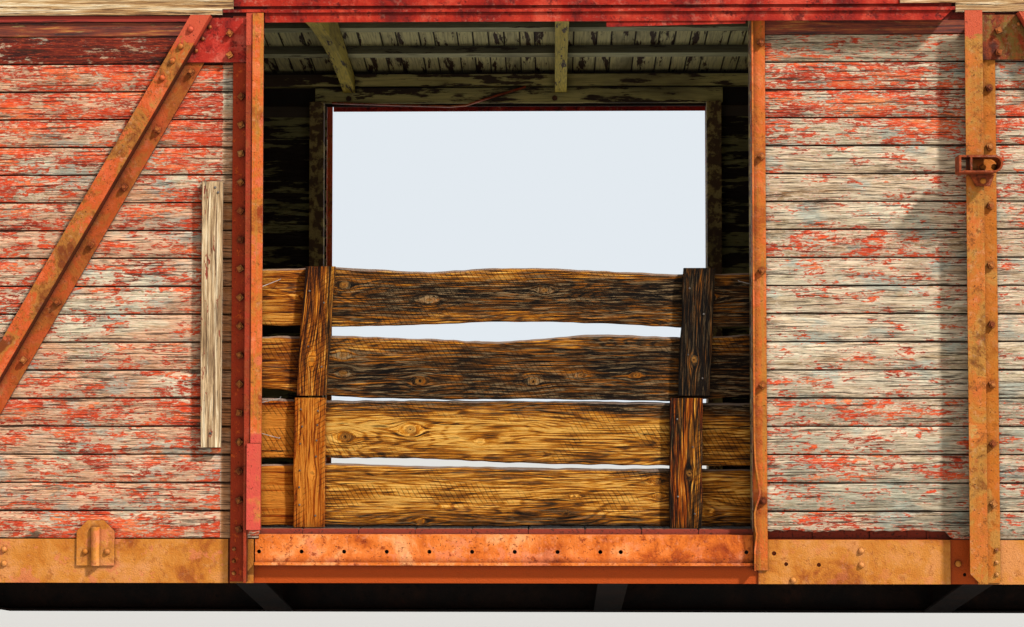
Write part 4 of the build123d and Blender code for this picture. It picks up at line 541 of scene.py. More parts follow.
def make_finishes():
    """Every finish of the car, by a short name."""
    upright = math.pi / 2
    FINISHES.update(
        siding=siding_finish(),
        gate=gate_finish(),
        dark_red=dark_red_finish(),
        lining=lining_finish("Pine lining with worn whitewash", 0.0, "#CCBC74", "#3E2A18", 0.44, 0.49),
        jamb=lining_finish("Pine jamb with worn whitewash", upright, "#AC9254", "#5A3E22", 0.46, 0.56),
        purlin=lining_finish("Pine purlin with worn whitewash", 0.0, "#D8D4A0", "#4A3522", 0.36, 0.41, 0.8),
        rafter=lining_finish(
            "Pine rafter with worn whitewash", upright, "#E6CC48", "#4A3018", 0.38, 0.43, 0.30
        ),
        roof_wood=lining_finish("Roof board with worn whitewash", None, "#F2E8A6", "#46290F", 0.41, 0.46),
        fascia=silvered_finish(
            "Silvered pine fascia", 0.0, shades(WOOD_PLACES, "#5A3418 #B4844C #E0BA84 #FAE8C2"),
            speck_low=0.70, red_below=PLATE_BOTTOM + 0.028,
        ),
        batten=silvered_finish(
            "Silvered pine batten", None, shades(WOOD_PLACES, "#5A3C20 #A8865C #DCB888 #FCE6BC"),
            speck_low=0.62,
        ),
        walk=silvered_finish(
            "Silvered pine roof walk", 0.0, shades(GREY_PLACES, "#3F3A32 #6F695C #8F887A #B1AA9A"), "#4A3A2C"
        ),
        deck=silvered_finish(
            "Worn floor plank", None, shades(GREY_PLACES, "#2A2119 #4B3D2E #6A5843 #85725A"), "#2A2018",
            red_ends=True,
        ),
        brace=steel_finish(
            "Bracing steel in chalked oxide orange",
            shades(BAR_PLACES, "#7E3A10 #B2702C #C8541E #DC6434 #B8803C"), "#DE5C34", "#8A4A14",
            recess=("#9C4210", 0.55, "#C06A0A"), edge=0.75, top=(3.43, "#CC5136"),
            right=shades(BAR_PLACES, "#7E4A14 #BC8034 #C06C20 #D0722C #C09A50"),
        ),
        post=steel_finish(
            "Doorpost steel in salmon and rust",
            shades(BAR_PLACES, "#963A10 #C87428 #D86024 #E67440 #C88838"), "#E06A48", "#A85A1C",
            recess=("#C8601E", 0.35, "#D06A1A"), foot=(1.62, "#D84A44", "#B07C2C"),
        ),
        strap=steel_finish(
            "Door stop in brown-red rust",
            shades(STEEL_PLACES, "#6A2A0E #943E16 #AA4C1E #C46A34"), "#AE4426", "#5A240A",
        ),
        sill=steel_finish(
            "Sill plate in ochre rust",
            shades(STEEL_PLACES, "#A05018 #C47424 #D08434 #D88C4C"), "#D8784E", "#B4682A",
            inside="#B4480A", pit_low=0.72, streak=0.15, pale=0.06,
        ),
        threshold=steel_finish(
            "Threshold angle in red and rust",
            shades(STEEL_PLACES, "#B04A10 #E07020 #F28438 #F8A868"), "#EE8858", "#963608",
        ),
        gusset=steel_finish(
            "Gusset plate in crimson",
            shades(STEEL_PLACES, "#7A1810 #AA2416 #C03422 #D2604A"), "#CE4030", "#641408",
            right=shades(STEEL_PLACES, "#4A1C0A #8E3A0E #7E6428 #A85A20"), streak=0.5,
        ),
        hood=steel_finish(
            "Door track in bright oxide red",
            shades(STEEL_PLACES, "#6A0E04 #9A1A08 #B42810 #D04A30"), "#B42E16", "#5E0E04",
            pit_low=0.72, roughness=0.65,
        ),
        plate=steel_finish(
            "Side plate in dark oxide red",
            shades((0.30, 0.46, 0.60, 0.76), "#3E0E08 #641A0F #7C2416 #93382A"), "#7E2C1E", "#3C1008",
            inside="#1E1610", pale=0.0,
        ),
        # Near black: rust and soot, darkened further as painted shade under the car
        frame=steel_finish(
            "Underframe steel under soot and rust",
            shades((0.32, 0.48, 0.60, 0.74), "#0B0705 #130C08 #20120A #341B0E"), "#1E110A", "#0C0604",
            roughness=0.85, pale=0.0,
        ),
        roof=steel_finish(
            "Roof sheet in faded, rusting paint",
            shades((0.32, 0.46, 0.58, 0.72), "#5A3E30 #76675A #887C70 #938678"), "#7C4A32", "#5E3420",
            roughness=0.55, pale=0.12,
        ),
        bolt=steel_finish(
            "Nut and rivet in rust",
            shades(STEEL_PLACES, "#7A3412 #A85622 #C0702E #D69450"), "#B8582E", "#6A2C0E",
        ),
        truck=iron_finish(
            "Forged truck bar in brown rust", "#2A1A12 #4A2B1A #6B3C22 #8A4F2C", 0.75,
            (0.30, 0.48, 0.62, 0.76),
        ),
        cast=iron_finish("Cast iron in dull rust", "#241711 #43291B #5E3822 #77482B", 0.72),
        wheel=iron_finish("Chilled iron wheel in rust", "#2C1B13 #53321F #704427 #8E5731", 0.6),
        nail=iron_finish("Nail head in dark rust", "#2A211C #5A5048 #7A726A #8E867E", 0.6),
        wire=iron_finish("Galvanised tie wire", "#6A625A #A29A90 #B8B2A8 #CCC8C0", 0.45),
    )


def dress(finishes):
    """Gives CAD nodes their finish: {finish: (node, ...)}."""
    for name, nodes in finishes.items():
        for node in nodes:
            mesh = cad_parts[node].data
            mesh.materials.clear()
            mesh.materials.append(FINISHES[name])


def new_object(name, data):
    """A new object in the scene, at the origin."""
    thing = bpy.data.objects.new(name, data)
    bpy.context.scene.collection.objects.link(thing)
    return thing


def set_piece(name, mesh, body, slot, *replaced):
    """Makes a finished mesh a piece that rides on its body."""
    piece = new_object(name, mesh)
    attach(piece, body)
    if replaced:
        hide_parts(*replaced)


# Timber
def wobble(seed, place, size, reach):
    """A smooth wander of up to size, with bumps about reach apart."""
    return size * noise.noise(Vector((place / reach, seed * 7.31, 0.5)))


class Timber:
    """Gathers planks into one mesh, each with grain of its own."""

    SHARP = math.radians(35.0)

    def __init__(self, seed):
        self.points, self.faces, self.grain = [], [], []
        self.values = {"tone": [], "age": [], "knot": [], "wane": []}
        self.draw = random.Random(seed)

    def plank(self, start, along, up, out, length, outline, step, tone=None, look=None):
        """Sweeps an outline of (v, w) points along a plank. look(u, v) gives shift of v, age, knot, wane."""
        first = len(self.points)
        stations = max(2, round(length / step) + 1)
        shift = Vector([self.draw.uniform(0.0, 40.0) for _ in range(3)])
        drawn = self.draw.random()
        tone = drawn if tone is None else tone
        for i in range(stations):
            u = length * i / (stations - 1)
            ring = outline(u)
            for v, w in ring:
                bend, *weathering = look(u, v) if look else (0.0, 0.0, 0.0, 0.0)
                self.points.append(start + along * u + up * v + out * w)
                self.grain.append(Vector((u, v + bend, w)) + shift)
                for values, value in zip(self.values.values(), (tone, *weathering)):
                    values.append(value)
        n = len(ring)
        last = first + (stations - 1) * n
        for a in range(first, last, n):
            for k in range(n):
                m = (k + 1) % n
                self.faces.append((a + k, a + m, a + n + m, a + n + k))
        self.faces += [tuple(range(first + n - 1, first - 1, -1)), tuple(range(last, last + n))]

    def make(self, name, finish, slot, *replaced):
        """Makes one piece of the planks, with their faces turned outwards."""
        mesh = bpy.data.meshes.new(name)
        mesh.from_pydata(self.points, [], self.faces)
        for key, values in self.values.items():
            mesh.attributes.new(key, "FLOAT", "POINT").data.foreach_set("value", values)
        flat = [c for g in self.grain for c in g]
        mesh.attributes.new("grain", "FLOAT_VECTOR", "POINT").data.foreach_set("vector", flat)
        shell = bmesh.new()
        shell.from_mesh(mesh)
        bmesh.ops.recalc_face_normals(shell, faces=shell.faces)
        shell.to_mesh(mesh)
        shell.free()
        mesh.shade_smooth()
        mesh.set_sharp_from_angle(angle=self.SHARP)
        mesh.materials.append(FINISHES[finish])
        set_piece(name, mesh, BODY, slot, *replaced)


def lapped(pitch, thick, gap, worn, seed, foot=None):
    """A ship-lapped board: its back meets the next board, and its face stops short, with worn edges."""

    def outline(u):
        low = gap / 2 + wobble(seed, u, 0.0018, 0.30)
        high = pitch - gap / 2 + wobble(seed + 0.5, u, 0.0018, 0.30)
        face = thick + wobble(seed + 0.2, u, 0.0015, 1.2)
        lap = 0.5 * thick
        back = foot(u) if foot else 0.0
        if foot:
            low = max(low, back)
        return [
            (back, 0.0),
            (back, lap - 0.001),
            (low, lap),
            (low, face - worn),
            (low + 0.3 * worn, face - 0.3 * worn),
            (low + worn, face),
            ((low + high) / 2, face + wobble(seed + 0.7, u, 0.0012, 0.6)),
            (high - worn, face),
            (high - 0.3 * worn, face - 0.3 * worn),
            (high, face - worn),
            (high, lap),
            (pitch, lap - 0.001),
            (pitch, 0.0),
        ]

    return outline


def beam(width, thick, r, seed, rough=0.001):
    """A plain plank's outline, with eased and slightly uneven edges."""

    def outline(u):
        a = wobble(seed, u, rough, 0.25)
        b = width + wobble(seed + 0.5, u, rough, 0.25)
        left = [(a, r), (a, thick - r), (a + r, thick)]
        return left + [(b - r, thick), (b, thick - r), (b, r), (b - r, 0.0), (a + r, 0.0)]

    return outline


# The rotted foot of the bottom board, right of the doorway: (x, height over the sill)
ROT = (
    (0.60, 0.038), (0.85, 0.042), (0.96, 0.036), (1.10, 0.044), (1.26, 0.039), (1.40, 0.044), (1.53, 0.037),
    (1.55, 0.0),
)


def rot_height(x):
    """How much of the bottom board has rotted away at x."""
    for (x0, h0), (x1, h1) in zip(ROT, ROT[1:]):
        if x0 <= x <= x1:
            share = (x - x0) / (x1 - x0)
            return h0 + (h1 - h0) * share + (wobble(3.0, x, 0.008, 0.02) if h0 and h1 else 0.0)
    return 0.0


def board_wall(timber, corner, out, length, height, rotted=False, kept=False):
    """Courses of boards from a lower corner, at the left from outside. Kept: the top one is still red."""
    s = bpy.context.scene.boxcar_wood
    courses = math.ceil(height / BOARD_PITCH - 0.1)
    for i in range(courses):
        foot = (lambda u: rot_height(corner.x + u)) if rotted and i == 0 else None
        pitch = min(BOARD_PITCH, height - i * BOARD_PITCH)
        outline = lapped(pitch, BOARD_T, s.joint, s.worn_edge, timber.draw.uniform(0, 99), foot)
        start = corner + UP * (i * BOARD_PITCH)
        tone = 2.0 if kept and i == courses - 1 else None
        timber.plank(start, UP.cross(out), UP, out, length, outline, 0.02 if foot else 0.08, tone)


class BOXCAR_OT_siding(bpy.types.Operator):
    """Makes the boards of both sides"""

    bl_idname = "boxcar.siding"
    bl_label = "Side boards"

    def execute(self, context):
        left, right = BOARDS_LEFT + HALF_LENGTH, HALF_LENGTH - DOOR_RIGHT
        walls = (
            # name, corner, outward, length, replaced node, rotted foot
            ("siding_near_left", (-HALF_LENGTH, -INNER_Y), NEAR, left, "boards_near_left", False),
            ("siding_near_right", (DOOR_RIGHT, -INNER_Y), NEAR, right, "boards_near_right", True),
            ("siding_far_left", (BOARDS_LEFT, INNER_Y), FAR, left, "boards_far_left", False),
            ("siding_far_right", (HALF_LENGTH, INNER_Y), FAR, right, "boards_far_right", False),
        )
        for seed, (name, (x, y), out, length, node, rotted) in enumerate(walls, start=11):
            timber = Timber(seed)
            corner = Vector((x, y, SILL_TOP))
            board_wall(timber, corner, out, length, BOARDS_TOP - SILL_TOP, rotted, name.endswith("left"))
            timber.make(name, "siding", "board_wood", node)
        return {"FINISHED"}


class BOXCAR_OT_ends(bpy.types.Operator):
    """Makes the boards of both ends"""

    bl_idname = "boxcar.ends"
    bl_label = "End boards"

    def execute(self, context):
        low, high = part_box("end_boards")
        timber = Timber(21)
        for side in (1, -1):
            corner = Vector((side * INNER_X, -side * high.y, low.z))
            board_wall(timber, corner, Vector((side, 0, 0)), high.y - low.y, high.z - low.z)
        timber.make("end_siding", "siding", "board_wood", "end_boards")
        return {"FINISHED"}


class BOXCAR_OT_strips(bpy.types.Operator):
    """Makes the dark red strips over the boards"""

    bl_idname = "boxcar.strips"
    bl_label = "Top strips"

    def execute(self, context):
        low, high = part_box("top_strips")
        timber = Timber(31)
        for out in (NEAR, FAR):
            for x0, x1 in ((-HALF_LENGTH, BOARDS_LEFT), (DOOR_RIGHT, HALF_LENGTH)):
                start = Vector((x0 if out is NEAR else x1, out.y * INNER_Y, low.z))
                outline = beam(high.z - low.z, BOARD_T, 0.004, timber.draw.uniform(0, 99))
                timber.plank(start, UP.cross(out), UP, out, x1 - x0, outline, 0.15)
        timber.make("painted_strips", "dark_red", "dark_red_strip", "top_strips")
        return {"FINISHED"}


# The gate: (lower edge, upper edge) heights at even steps, then how weathered: foot, middle, top, left, right
GATE_STEPS = 6
GATE_PLANKS = (
    ((1.190, 1.191, 1.190, 1.190, 1.191, 1.190, 1.190), (1.477, 1.482, 1.470, 1.464, 1.459, 1.457, 1.455),
     (0.66, 0.24, 0.48), (0.0, 0.10)),
    ((1.507, 1.507, 1.505, 1.486, 1.477, 1.472, 1.472), (1.790, 1.778, 1.776, 1.775, 1.771, 1.767, 1.765),
     (0.38, 0.10, 0.84), (0.0, 0.18)),
    ((1.841, 1.798, 1.783, 1.784, 1.780, 1.777, 1.808), (2.078, 2.082, 2.066, 2.056, 2.085, 2.074, 2.087),
     (0.84, 0.90, 0.58), (-0.12, 0.04)),
    ((2.134, 2.125, 2.134, 2.148, 2.139, 2.121, 2.127), (2.394, 2.404, 2.383, 2.401, 2.386, 2.371, 2.375),
     (0.58, 0.90, 0.50), (-0.16, 0.08)),
)
# Knots of each plank, from the lowest up: x, z, radius
GATE_KNOTS = (
    ((0.200, 1.402, 0.011), (0.215, 1.330, 0.009), (-0.175, 1.330, 0.008), (-0.22, 1.252, 0.007),
     (-0.90, 1.210, 0.010), (0.440, 1.262, 0.012)),
    ((-1.255, 1.606, 0.017), (-0.945, 1.640, 0.020), (-0.62, 1.585, 0.008)),
    ((-1.262, 1.990, 0.013), (-1.262, 1.905, 0.012), (-0.905, 1.868, 0.014), (-0.37, 1.866, 0.013),
     (-0.15, 1.895, 0.009), (0.110, 1.895, 0.011)),
    ((-1.44, 2.27, 0.011), (-0.86, 2.250, 0.012), (-0.32, 2.294, 0.013), (0.46, 2.262, 0.012),
     (-1.26, 2.32, 0.014)),
)
# Cleats: x at the foot, x at the top, foot, top, width, ages across, lean from foot to top, and the knot's
# share of the length, share of the width and radius
GATE_CLEATS = (
    (-1.481, -1.441, 1.800, 2.406, 0.141, (0.52, 0.46, 0.68), (0.02, 0.10), (0.28, 0.55, 0.012)),
    (-1.493, -1.490, 1.186, 1.790, 0.146, (0.16, 0.10, 0.20), (0.10, 0.04), (0.42, 0.40, 0.010)),
    (0.305, 0.333, 1.800, 2.396, 0.148, (0.98, 0.90, 1.02), (0.04, 0.06), (0.28, 0.55, 0.012)),
    (0.262, 0.268, 1.184, 1.788, 0.152, (0.62, 0.40, 0.68), (0.16, 0.14), (0.42, 0.40, 0.010)),
)
# Heads of the cleats' nails: x, z
GATE_NAILS = (
    (-1.458, 1.735), (-1.378, 1.728), (-1.452, 1.655), (-1.380, 1.662), (-1.460, 1.575), (-1.384, 1.590),
    (-1.386, 1.515), (-1.462, 1.450), (-1.464, 1.372), (-1.462, 1.290), (-1.388, 1.240), (-1.420, 2.290),
    (-1.352, 2.235), (-1.425, 2.030), (-1.362, 1.935), (0.360, 2.300), (0.425, 2.180), (0.352, 1.990),
    (0.418, 1.880), (0.300, 1.690), (0.372, 1.560), (0.302, 1.330), (0.380, 1.250),
)
# Wires round the slabs' ends: x, z, how far the doorpost's end of the wire lies below, side of the doorway
GATE_WIRES = (
    (-1.560, 2.345, 0.045, 1), (-1.560, 1.785, 0.020, 1), (-1.560, 1.600, -0.030, 1),
    (0.590, 2.335, 0.030, -1),
)
WIRE = tuple((0.0015 * math.cos(math.tau * k / 6), 0.0015 * math.sin(math.tau * k / 6)) for k in range(6))
WANE = 0.010
RIDGE = 0.002  # the most that a rough face stands proud


def gate_edge(heights, share):
    """The height of a plank's edge at a share of its length, as one smooth line through its steps."""
    place = min(share * GATE_STEPS, GATE_STEPS - 1e-6)
    i = int(place)
    t = place - i
    p0, p1, p2, p3 = heights[max(i - 1, 0)], heights[i], heights[i + 1], heights[min(i + 2, GATE_STEPS)]
    square, cube = 2 * p0 - 5 * p1 + 4 * p2 - p3, 3 * p1 - p0 - 3 * p2 + p3
    return 0.5 * (2 * p1 + (p2 - p0) * t + square * t * t + cube * t**3)


def slab_look(knots, ages, lean, length, low_at, high_at, sheltered=0.0):
    """How a slab looks at (u, v): how far its fibres part round the knots, its age, the knots and its wane.

    Sheltered: how much younger the start of the slab looks.
    """

    def look(u, v):
        low, high = low_at(u), high_at(u)
        share = min(max((v - low) / (high - low), 0.0), 1.0)
        foot, middle, top = ages
        if share < 0.5:
            age = foot + (middle - foot) * (share / 0.5) ** 0.8
        else:
            age = middle + (top - middle) * ((share - 0.5) / 0.5) ** 1.6
        age += lean[0] + (lean[1] - lean[0]) * u / length - sheltered * math.exp(-((u / 0.22) ** 4))
        age += 0.10 * noise.noise(Vector((u * 2.3, v * 9.0, ages[0] * 50)))
        bend, knot = 0.0, 0.0
        for ku, kv, r in knots:
            du, dv = (u - ku) / 1.9, v - kv
            near = du * du + dv * dv
            reach = (1.5 * r) ** 2
            bend -= dv * reach / max(near, reach)
            round_near = ((u - ku) / 1.25) ** 2 + dv * dv
            knot = max(knot, 1.0 - math.sqrt(round_near) / (1.35 * r))
        wane = 1.0 - (high - v) / 0.030 if sheltered else 0.0
        return bend, age, max(knot, 0.0), max(wane, 0.0)

    return look


def slab_outline(index, low_at, high_at, thick, knots, rows=26):
    """A live-edged slab: its upper edge slopes back, its face is rough and swells round the knots."""

    def outline(u):
        a, b = low_at(u), high_at(u)
        ring = [(a + 0.004, 0.0), (a, 0.3 * thick), (a, thick - WANE)]
        for k in range(rows + 1):
            v = a + 0.5 * WANE + (b - a - WANE) * k / rows
            edge = min(v - a, b - v) / WANE
            w = thick - WANE * 0.45 * max(0.0, 1.0 - edge) ** 2
            w -= 0.009 * max(0.0, 1.0 - (b - v) / 0.020) ** 1.5
            w += 0.0012 * noise.noise(Vector((u * 5.0, v * 90.0, index)))
            w += 0.0020 * noise.noise(Vector((u * 3.0, v * 14.0, index + 5.0)))
            for ku, kv, r in knots:
                near = math.hypot((u - ku) / 1.25, v - kv) / r
                w += 0.0030 * math.exp(-((near - 1.25) ** 2) * 5.0) - 0.004 * math.exp(-near * near * 3.0)
            ring.append((v, min(w, thick + RIDGE)))
        return ring + [(b, thick - 1.6 * WANE), (b, 0.3 * thick), (b - 0.004, 0.0)]

    return outline


def cleat_outline(index, width, thick, rows=14):
    """A cleat's board, with uneven edges and a rough face."""
    eased = 0.006

    def outline(u):
        a = wobble(index + 7.1, u, 0.004, 0.12)
        b = width + wobble(index + 9.6, u, 0.004, 0.12)
        ring = [(a, 0.0), (a, thick - eased)]
        for k in range(rows + 1):
            v = a + 0.5 * eased + (b - a - eased) * k / rows
            w = thick + 0.0022 * noise.noise(Vector((u * 6.0, v * 60.0, index + 20.0)))
            ring.append((v, min(w, thick + RIDGE)))
        return ring + [(b, thick - eased), (b, 0.0)]

    return outline


class BOXCAR_OT_gate(bpy.types.Operator):
    """Makes the gate of live-edged slabs with its cleats and wire ties"""

    bl_idname = "boxcar.gate"
    bl_label = "Plank gate"

    def execute(self, context):
        self.slabs()
        self.cleats()
        self.ties()
        return {"FINISHED"}

    def slabs(self):
        low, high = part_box("gate_planks")
        length, start = high.x - low.x, Vector((low.x, high.y, 0.0))
        timber = Timber(41)
        for index, (foots, tops, ages, lean) in enumerate(GATE_PLANKS):

            def low_at(u, foots=foots, index=index):
                return gate_edge(foots, u / length) + wobble(index + 0.1, u, 0.004, 0.07)

            def high_at(u, tops=tops, index=index):
                return gate_edge(tops, u / length) + wobble(index + 0.6, u, 0.004, 0.06)

            knots = [(x - low.x, z, r) for x, z, r in GATE_KNOTS[index]]
            outline = slab_outline(index, low_at, high_at, high.y - low.y, knots)
            look = slab_look(knots, ages, lean, length, low_at, high_at, 0.30)
            timber.plank(start, Vector((1, 0, 0)), UP, NEAR, length, outline, 0.016, 0.0, look)
        timber.make("gate_slabs", "gate", "rough_wood", "gate_planks")

    def cleats(self):
        low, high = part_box("gate_cleats")
        timber = Timber(47)
        for index, (foot_x, top_x, z0, z1, width, ages, lean, knot) in enumerate(GATE_CLEATS):
            start = Vector((foot_x + width, high.y, z0))
            along = Vector((top_x - foot_x, 0, z1 - z0)).normalized()
            length = (z1 - z0) / along.z
            knots = ((length * knot[0], width * knot[1], knot[2]),)
            outline = cleat_outline(index, width, high.y - low.y)
            look = slab_look(knots, ages, lean, length, lambda u: 0.0, lambda u, width=width: width)
            timber.plank(start, along, Vector((-1, 0, 0)), NEAR, length, outline, 0.014, 1.0, look)
        timber.make("gate_cleat_boards", "gate", "rough_wood", "gate_cleats")

    def ties(self):
        """Nails through the cleats, and the wires that hold the slabs' ends to the doorposts."""
        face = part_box("gate_cleats")[0].y - 0.001
        nails = [(Vector((x, face, z)), NEAR) for x, z in GATE_NAILS]
        fasten("gate_nails", "rivet", nails, BODY, "rough_wood", "nail", width=0.009, height=0.003)
        timber = Timber(71)
        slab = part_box("gate_planks")
        for x, z, rise, way in GATE_WIRES:
            knee = Vector((x, slab[0].y - 0.020, z))
            post = Vector((x - way * 0.085, -SIDE_Y - 0.006, z - rise))
            back = Vector((x, slab[1].y - 0.012, z + 0.010))
            for a, b in ((post, knee), (knee, back)):
                along = (b - a).normalized()
                up = along.cross(UP).normalized()
                timber.plank(a, along, up, along.cross(up), (b - a).length, lambda u: WIRE, 0.05)
        timber.make("gate_wires", "wire", "rough_wood")


class BOXCAR_OT_batten(bpy.types.Operator):
    """Makes the loose batten nailed on the wall left of the doorway"""

    bl_idname = "boxcar.batten"
    bl_label = "Wall batten"

    def execute(self, context):
        low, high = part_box("wall_batten")
        timber = Timber(53)
        outline = beam(high.x - low.x, high.y - low.y, 0.003, 5.0, 0.003)
        start = Vector((high.x, high.y, low.z))
        timber.plank(start, UP, Vector((-1, 0, 0)), NEAR, high.z - low.z, outline, 0.03)
        timber.make("grey_batten", "batten", "grey_wood", "wall_batten")
        heads = ((-1.846, 2.765), (-1.832, 2.742), (-1.860, 1.626))
        nails = [(Vector((x, low.y - 0.001, z)), NEAR) for x, z in heads]
        fasten("batten_nails", "rivet", nails, BODY, "grey_wood", "nail", width=0.012, height=0.003)
        return {"FINISHED"}


class BOXCAR_OT_floor(bpy.types.Operator):
    """Makes the planks of the floor, laid across the car"""

    bl_idname = "boxcar.floor"
    bl_label = "Floor planks"

    def execute(self, context):
        low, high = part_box("floor_deck")
        timber = Timber(59)
        gap = 0.003
        count = round((high.x - low.x) / (2 * BOARD_PITCH))
        width = (high.x - low.x) / count
        for i in range(count):
            start = Vector((low.x + i * width + gap / 2, high.y, low.z))
            outline = beam(width - gap, high.z - low.z, 0.004, timber.draw.uniform(0, 99))
            timber.plank(start, NEAR, Vector((1, 0, 0)), UP, high.y - low.y, outline, 0.4)
        timber.make("floor_planks", "deck", "floor_wood", "floor_deck")
        return {"FINISHED"}


class BOXCAR_OT_roof(bpy.types.Operator):
    """Makes the boards under the roof sheets, and dresses the sheets, walk and timbers"""

    bl_idname = "boxcar.roof"
    bl_label = "Roof"

    def execute(self, context):
        s = context.scene.boxcar_wood
        low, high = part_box("roof_boards")
        thick, gap = s.roof_board, s.roof_gap
        timber = Timber(61)
        slope = math.atan2(high.z - low.z - thick, high.y)
        down_len = high.y / math.cos(slope) - 0.006
        x = low.x
        while x < high.x - 0.05:
            width = min(timber.draw.choice((0.085, 0.088, 0.090, 0.132, 0.136)), high.x - x)
            for side in (-1, 1):
                down = Vector((0, side * math.cos(slope), -math.sin(slope)))
                out = Vector((0, side * math.sin(slope), math.cos(slope)))
                from_x = x if side > 0 else x + width - gap
                start = Vector((from_x, side * 0.004, high.z - thick / math.cos(slope)))
                outline = beam(width - gap, thick, 0.002, timber.draw.uniform(0, 99))
                timber.plank(start, down, Vector((side, 0, 0)), out, down_len, outline, 0.35)
            x += width
        timber.make("roof_boarding", "roof_wood", "roof_wood", "roof_boards")
        dress({
            "roof": ("roof_sheets",),
            "walk": ("running_board",),
            "lining": ("plate_timbers",),
            "jamb": ("door_jambs",),
            "purlin": ("purlins",),
            "rafter": ("carlines",),
            "fascia": ("fascia_boards",),
        })
        low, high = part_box("roof_sheets")
        seams = []
        for i in range(-10, 11):
            for side in (-1, 1):
                for k in range(9):
                    y = 0.16 + k * SEAM_NAIL_PITCH
                    z = high.z - 0.018 - (high.z - low.z - 0.03) * y / high.y
                    out = Vector((0, side * 0.157, 0.987))
                    seams.append((Vector((i * SHEET_WIDTH, side * y, z + 0.012)), out))
        fasten("roof_seam_nails", "rivet", seams, BODY, "roof_metal", width=0.014, height=0.005)
        return {"FINISHED"}


# Fasteners, set on points by Geometry Nodes
def fastener_tree(kind):
    """A tree that sets one fastener on every point of a mesh, its axis along the point's own direction."""
    tree = bpy.data.node_groups.new(f"Set {kind}s", "GeometryNodeTree")
    inputs = {"Geometry": "Geometry", "Seed": "Int", "Finish": "Material"}
    for name in ("Geometry", "Width", "Height", "Bolt Radius", "Bolt Length", "Turn", "Seed", "Finish"):
        socket_type = "NodeSocket" + inputs.get(name, "Float")
        tree.interface.new_socket(name, in_out="INPUT", socket_type=socket_type)
    tree.interface.new_socket("Geometry", in_out="OUTPUT", socket_type="NodeSocketGeometry")
    given = add(tree, "NodeGroupInput", out=None).outputs
    if kind == "rivet":
        radius = product(tree, given["Width"], 0.5)
        ball = add(tree, "GeometryNodeMeshUVSphere", {"Segments": 10, "Rings": 6, "Radius": radius})
        squat = add(tree, "Math", {0: given["Height"], 1: radius}, operation="DIVIDE")
        shape = add(tree, "CombineXYZ", {0: 1.0, 1: 1.0, 2: squat})
        head = add(tree, "GeometryNodeTransform", {"Geometry": ball, "Scale": shape})
        head = add(tree, "GeometryNodeSetShadeSmooth", {"Geometry": head})
    else:
        # A nut with a bolt's end through it, both standing on the point
        join = add(tree, "GeometryNodeJoinGeometry", out=None)
        corner = product(tree, given["Width"], math.sqrt(0.5))
        bolt = (8, given["Bolt Radius"], given["Bolt Length"])
        for sides, radius, length in ((4, corner, given["Height"]), bolt):
            round_rod = {"Vertices": sides, "Radius": radius, "Depth": length}
            rod = add(tree, "GeometryNodeMeshCylinder", round_rod)
            lift = add(tree, "CombineXYZ", {2: product(tree, length, 0.5)})
            rod = add(tree, "GeometryNodeTransform", {"Geometry": rod, "Translation": lift})
            tree.links.new(rod, join.inputs[0])
        head = join.outputs[0]
    axis = add(tree, "GeometryNodeInputNamedAttribute", {"Name": "out"}, data_type="FLOAT_VECTOR")
    aim = add(tree, "FunctionNodeAlignRotationToVector", {"Vector": axis}, axis="Z")
    spots = {"Points": given["Geometry"], "Instance": head, "Rotation": aim}
    heads = add(tree, "GeometryNodeInstanceOnPoints", spots)
    least = product(tree, given["Turn"], -1.0)
    drawn = add(tree, "FunctionNodeRandomValue", {2: least, 3: given["Turn"], "Seed": given["Seed"]}, out=1)
    turn = add(tree, "CombineXYZ", {2: drawn})
    heads = add(tree, "GeometryNodeRotateInstances", {"Instances": heads, "Rotation": turn})
    heads = add(tree, "GeometryNodeRealizeInstances", {"Geometry": heads})
    heads = add(tree, "GeometryNodeSetMaterial", {"Geometry": heads, "Material": given["Finish"]})
    add(tree, "NodeGroupOutput", {"Geometry": heads})
    return tree


def fasten(name, kind, spots, body, slot, finish="bolt", width=0.026, height=0.014, bolt=0.008, reach=0.023):
    """Sets a fastener on each spot, a (point, direction) pair, and makes the lot one plain mesh."""
    s = bpy.context.scene.boxcar_steel
    tree = bpy.data.node_groups.get(f"Set {kind}s") or fastener_tree(kind)
    mesh = bpy.data.meshes.new(name + "_spots")
    mesh.from_pydata([p for p, _ in spots], [], [])
    flat = [c for _, d in spots for c in d.normalized()]
    mesh.attributes.new("out", "FLOAT_VECTOR", "POINT").data.foreach_set("vector", flat)
    holder = new_object(name + "_spots", mesh)
    modifier = holder.modifiers.new("fasteners", "NODES")
    modifier.node_group = tree
    values = {"Width": width, "Height": height, "Bolt Radius": bolt, "Bolt Length": reach}
    values.update({"Turn": s.turn, "Seed": s.seed, "Finish": FINISHES[finish]})
    for socket in tree.interface.items_tree:
        if socket.in_out == "INPUT" and socket.name in values:
            modifier[socket.identifier] = values[socket.name]
    shown = bpy.data.meshes.new_from_object(holder.evaluated_get(bpy.context.evaluated_depsgraph_get()))
    shown.name = name
    bpy.data.objects.remove(holder)
    bpy.data.meshes.remove(mesh)
    set_piece(name, shown, body, slot)


def brace_lean(top_x, foot_x):
    """The lean that fits a bar of the bracing's full width between two posts."""
    run = abs(foot_x - top_x) - 2 * (BAR_FLANGE + BRACE_GAP)
    height = BRACE_TOP - SILL_TOP
    return math.acos(2 * BAR_FLANGE / math.hypot(run, height)) - math.atan2(height, run)


def brace_spot(panel, z, side_step):
    """The x of a point on a brace at a height, side_step across the bar from its web to its inner flange."""
    top_x, foot_x, way = panel
    lean = brace_lean(top_x, foot_x)
    top = BAR_FLANGE + BRACE_GAP + BAR_FLANGE / math.cos(lean)
    return top_x + way * (top + (BRACE_TOP - z) * math.tan(lean)) - way * side_step / math.cos(lean)


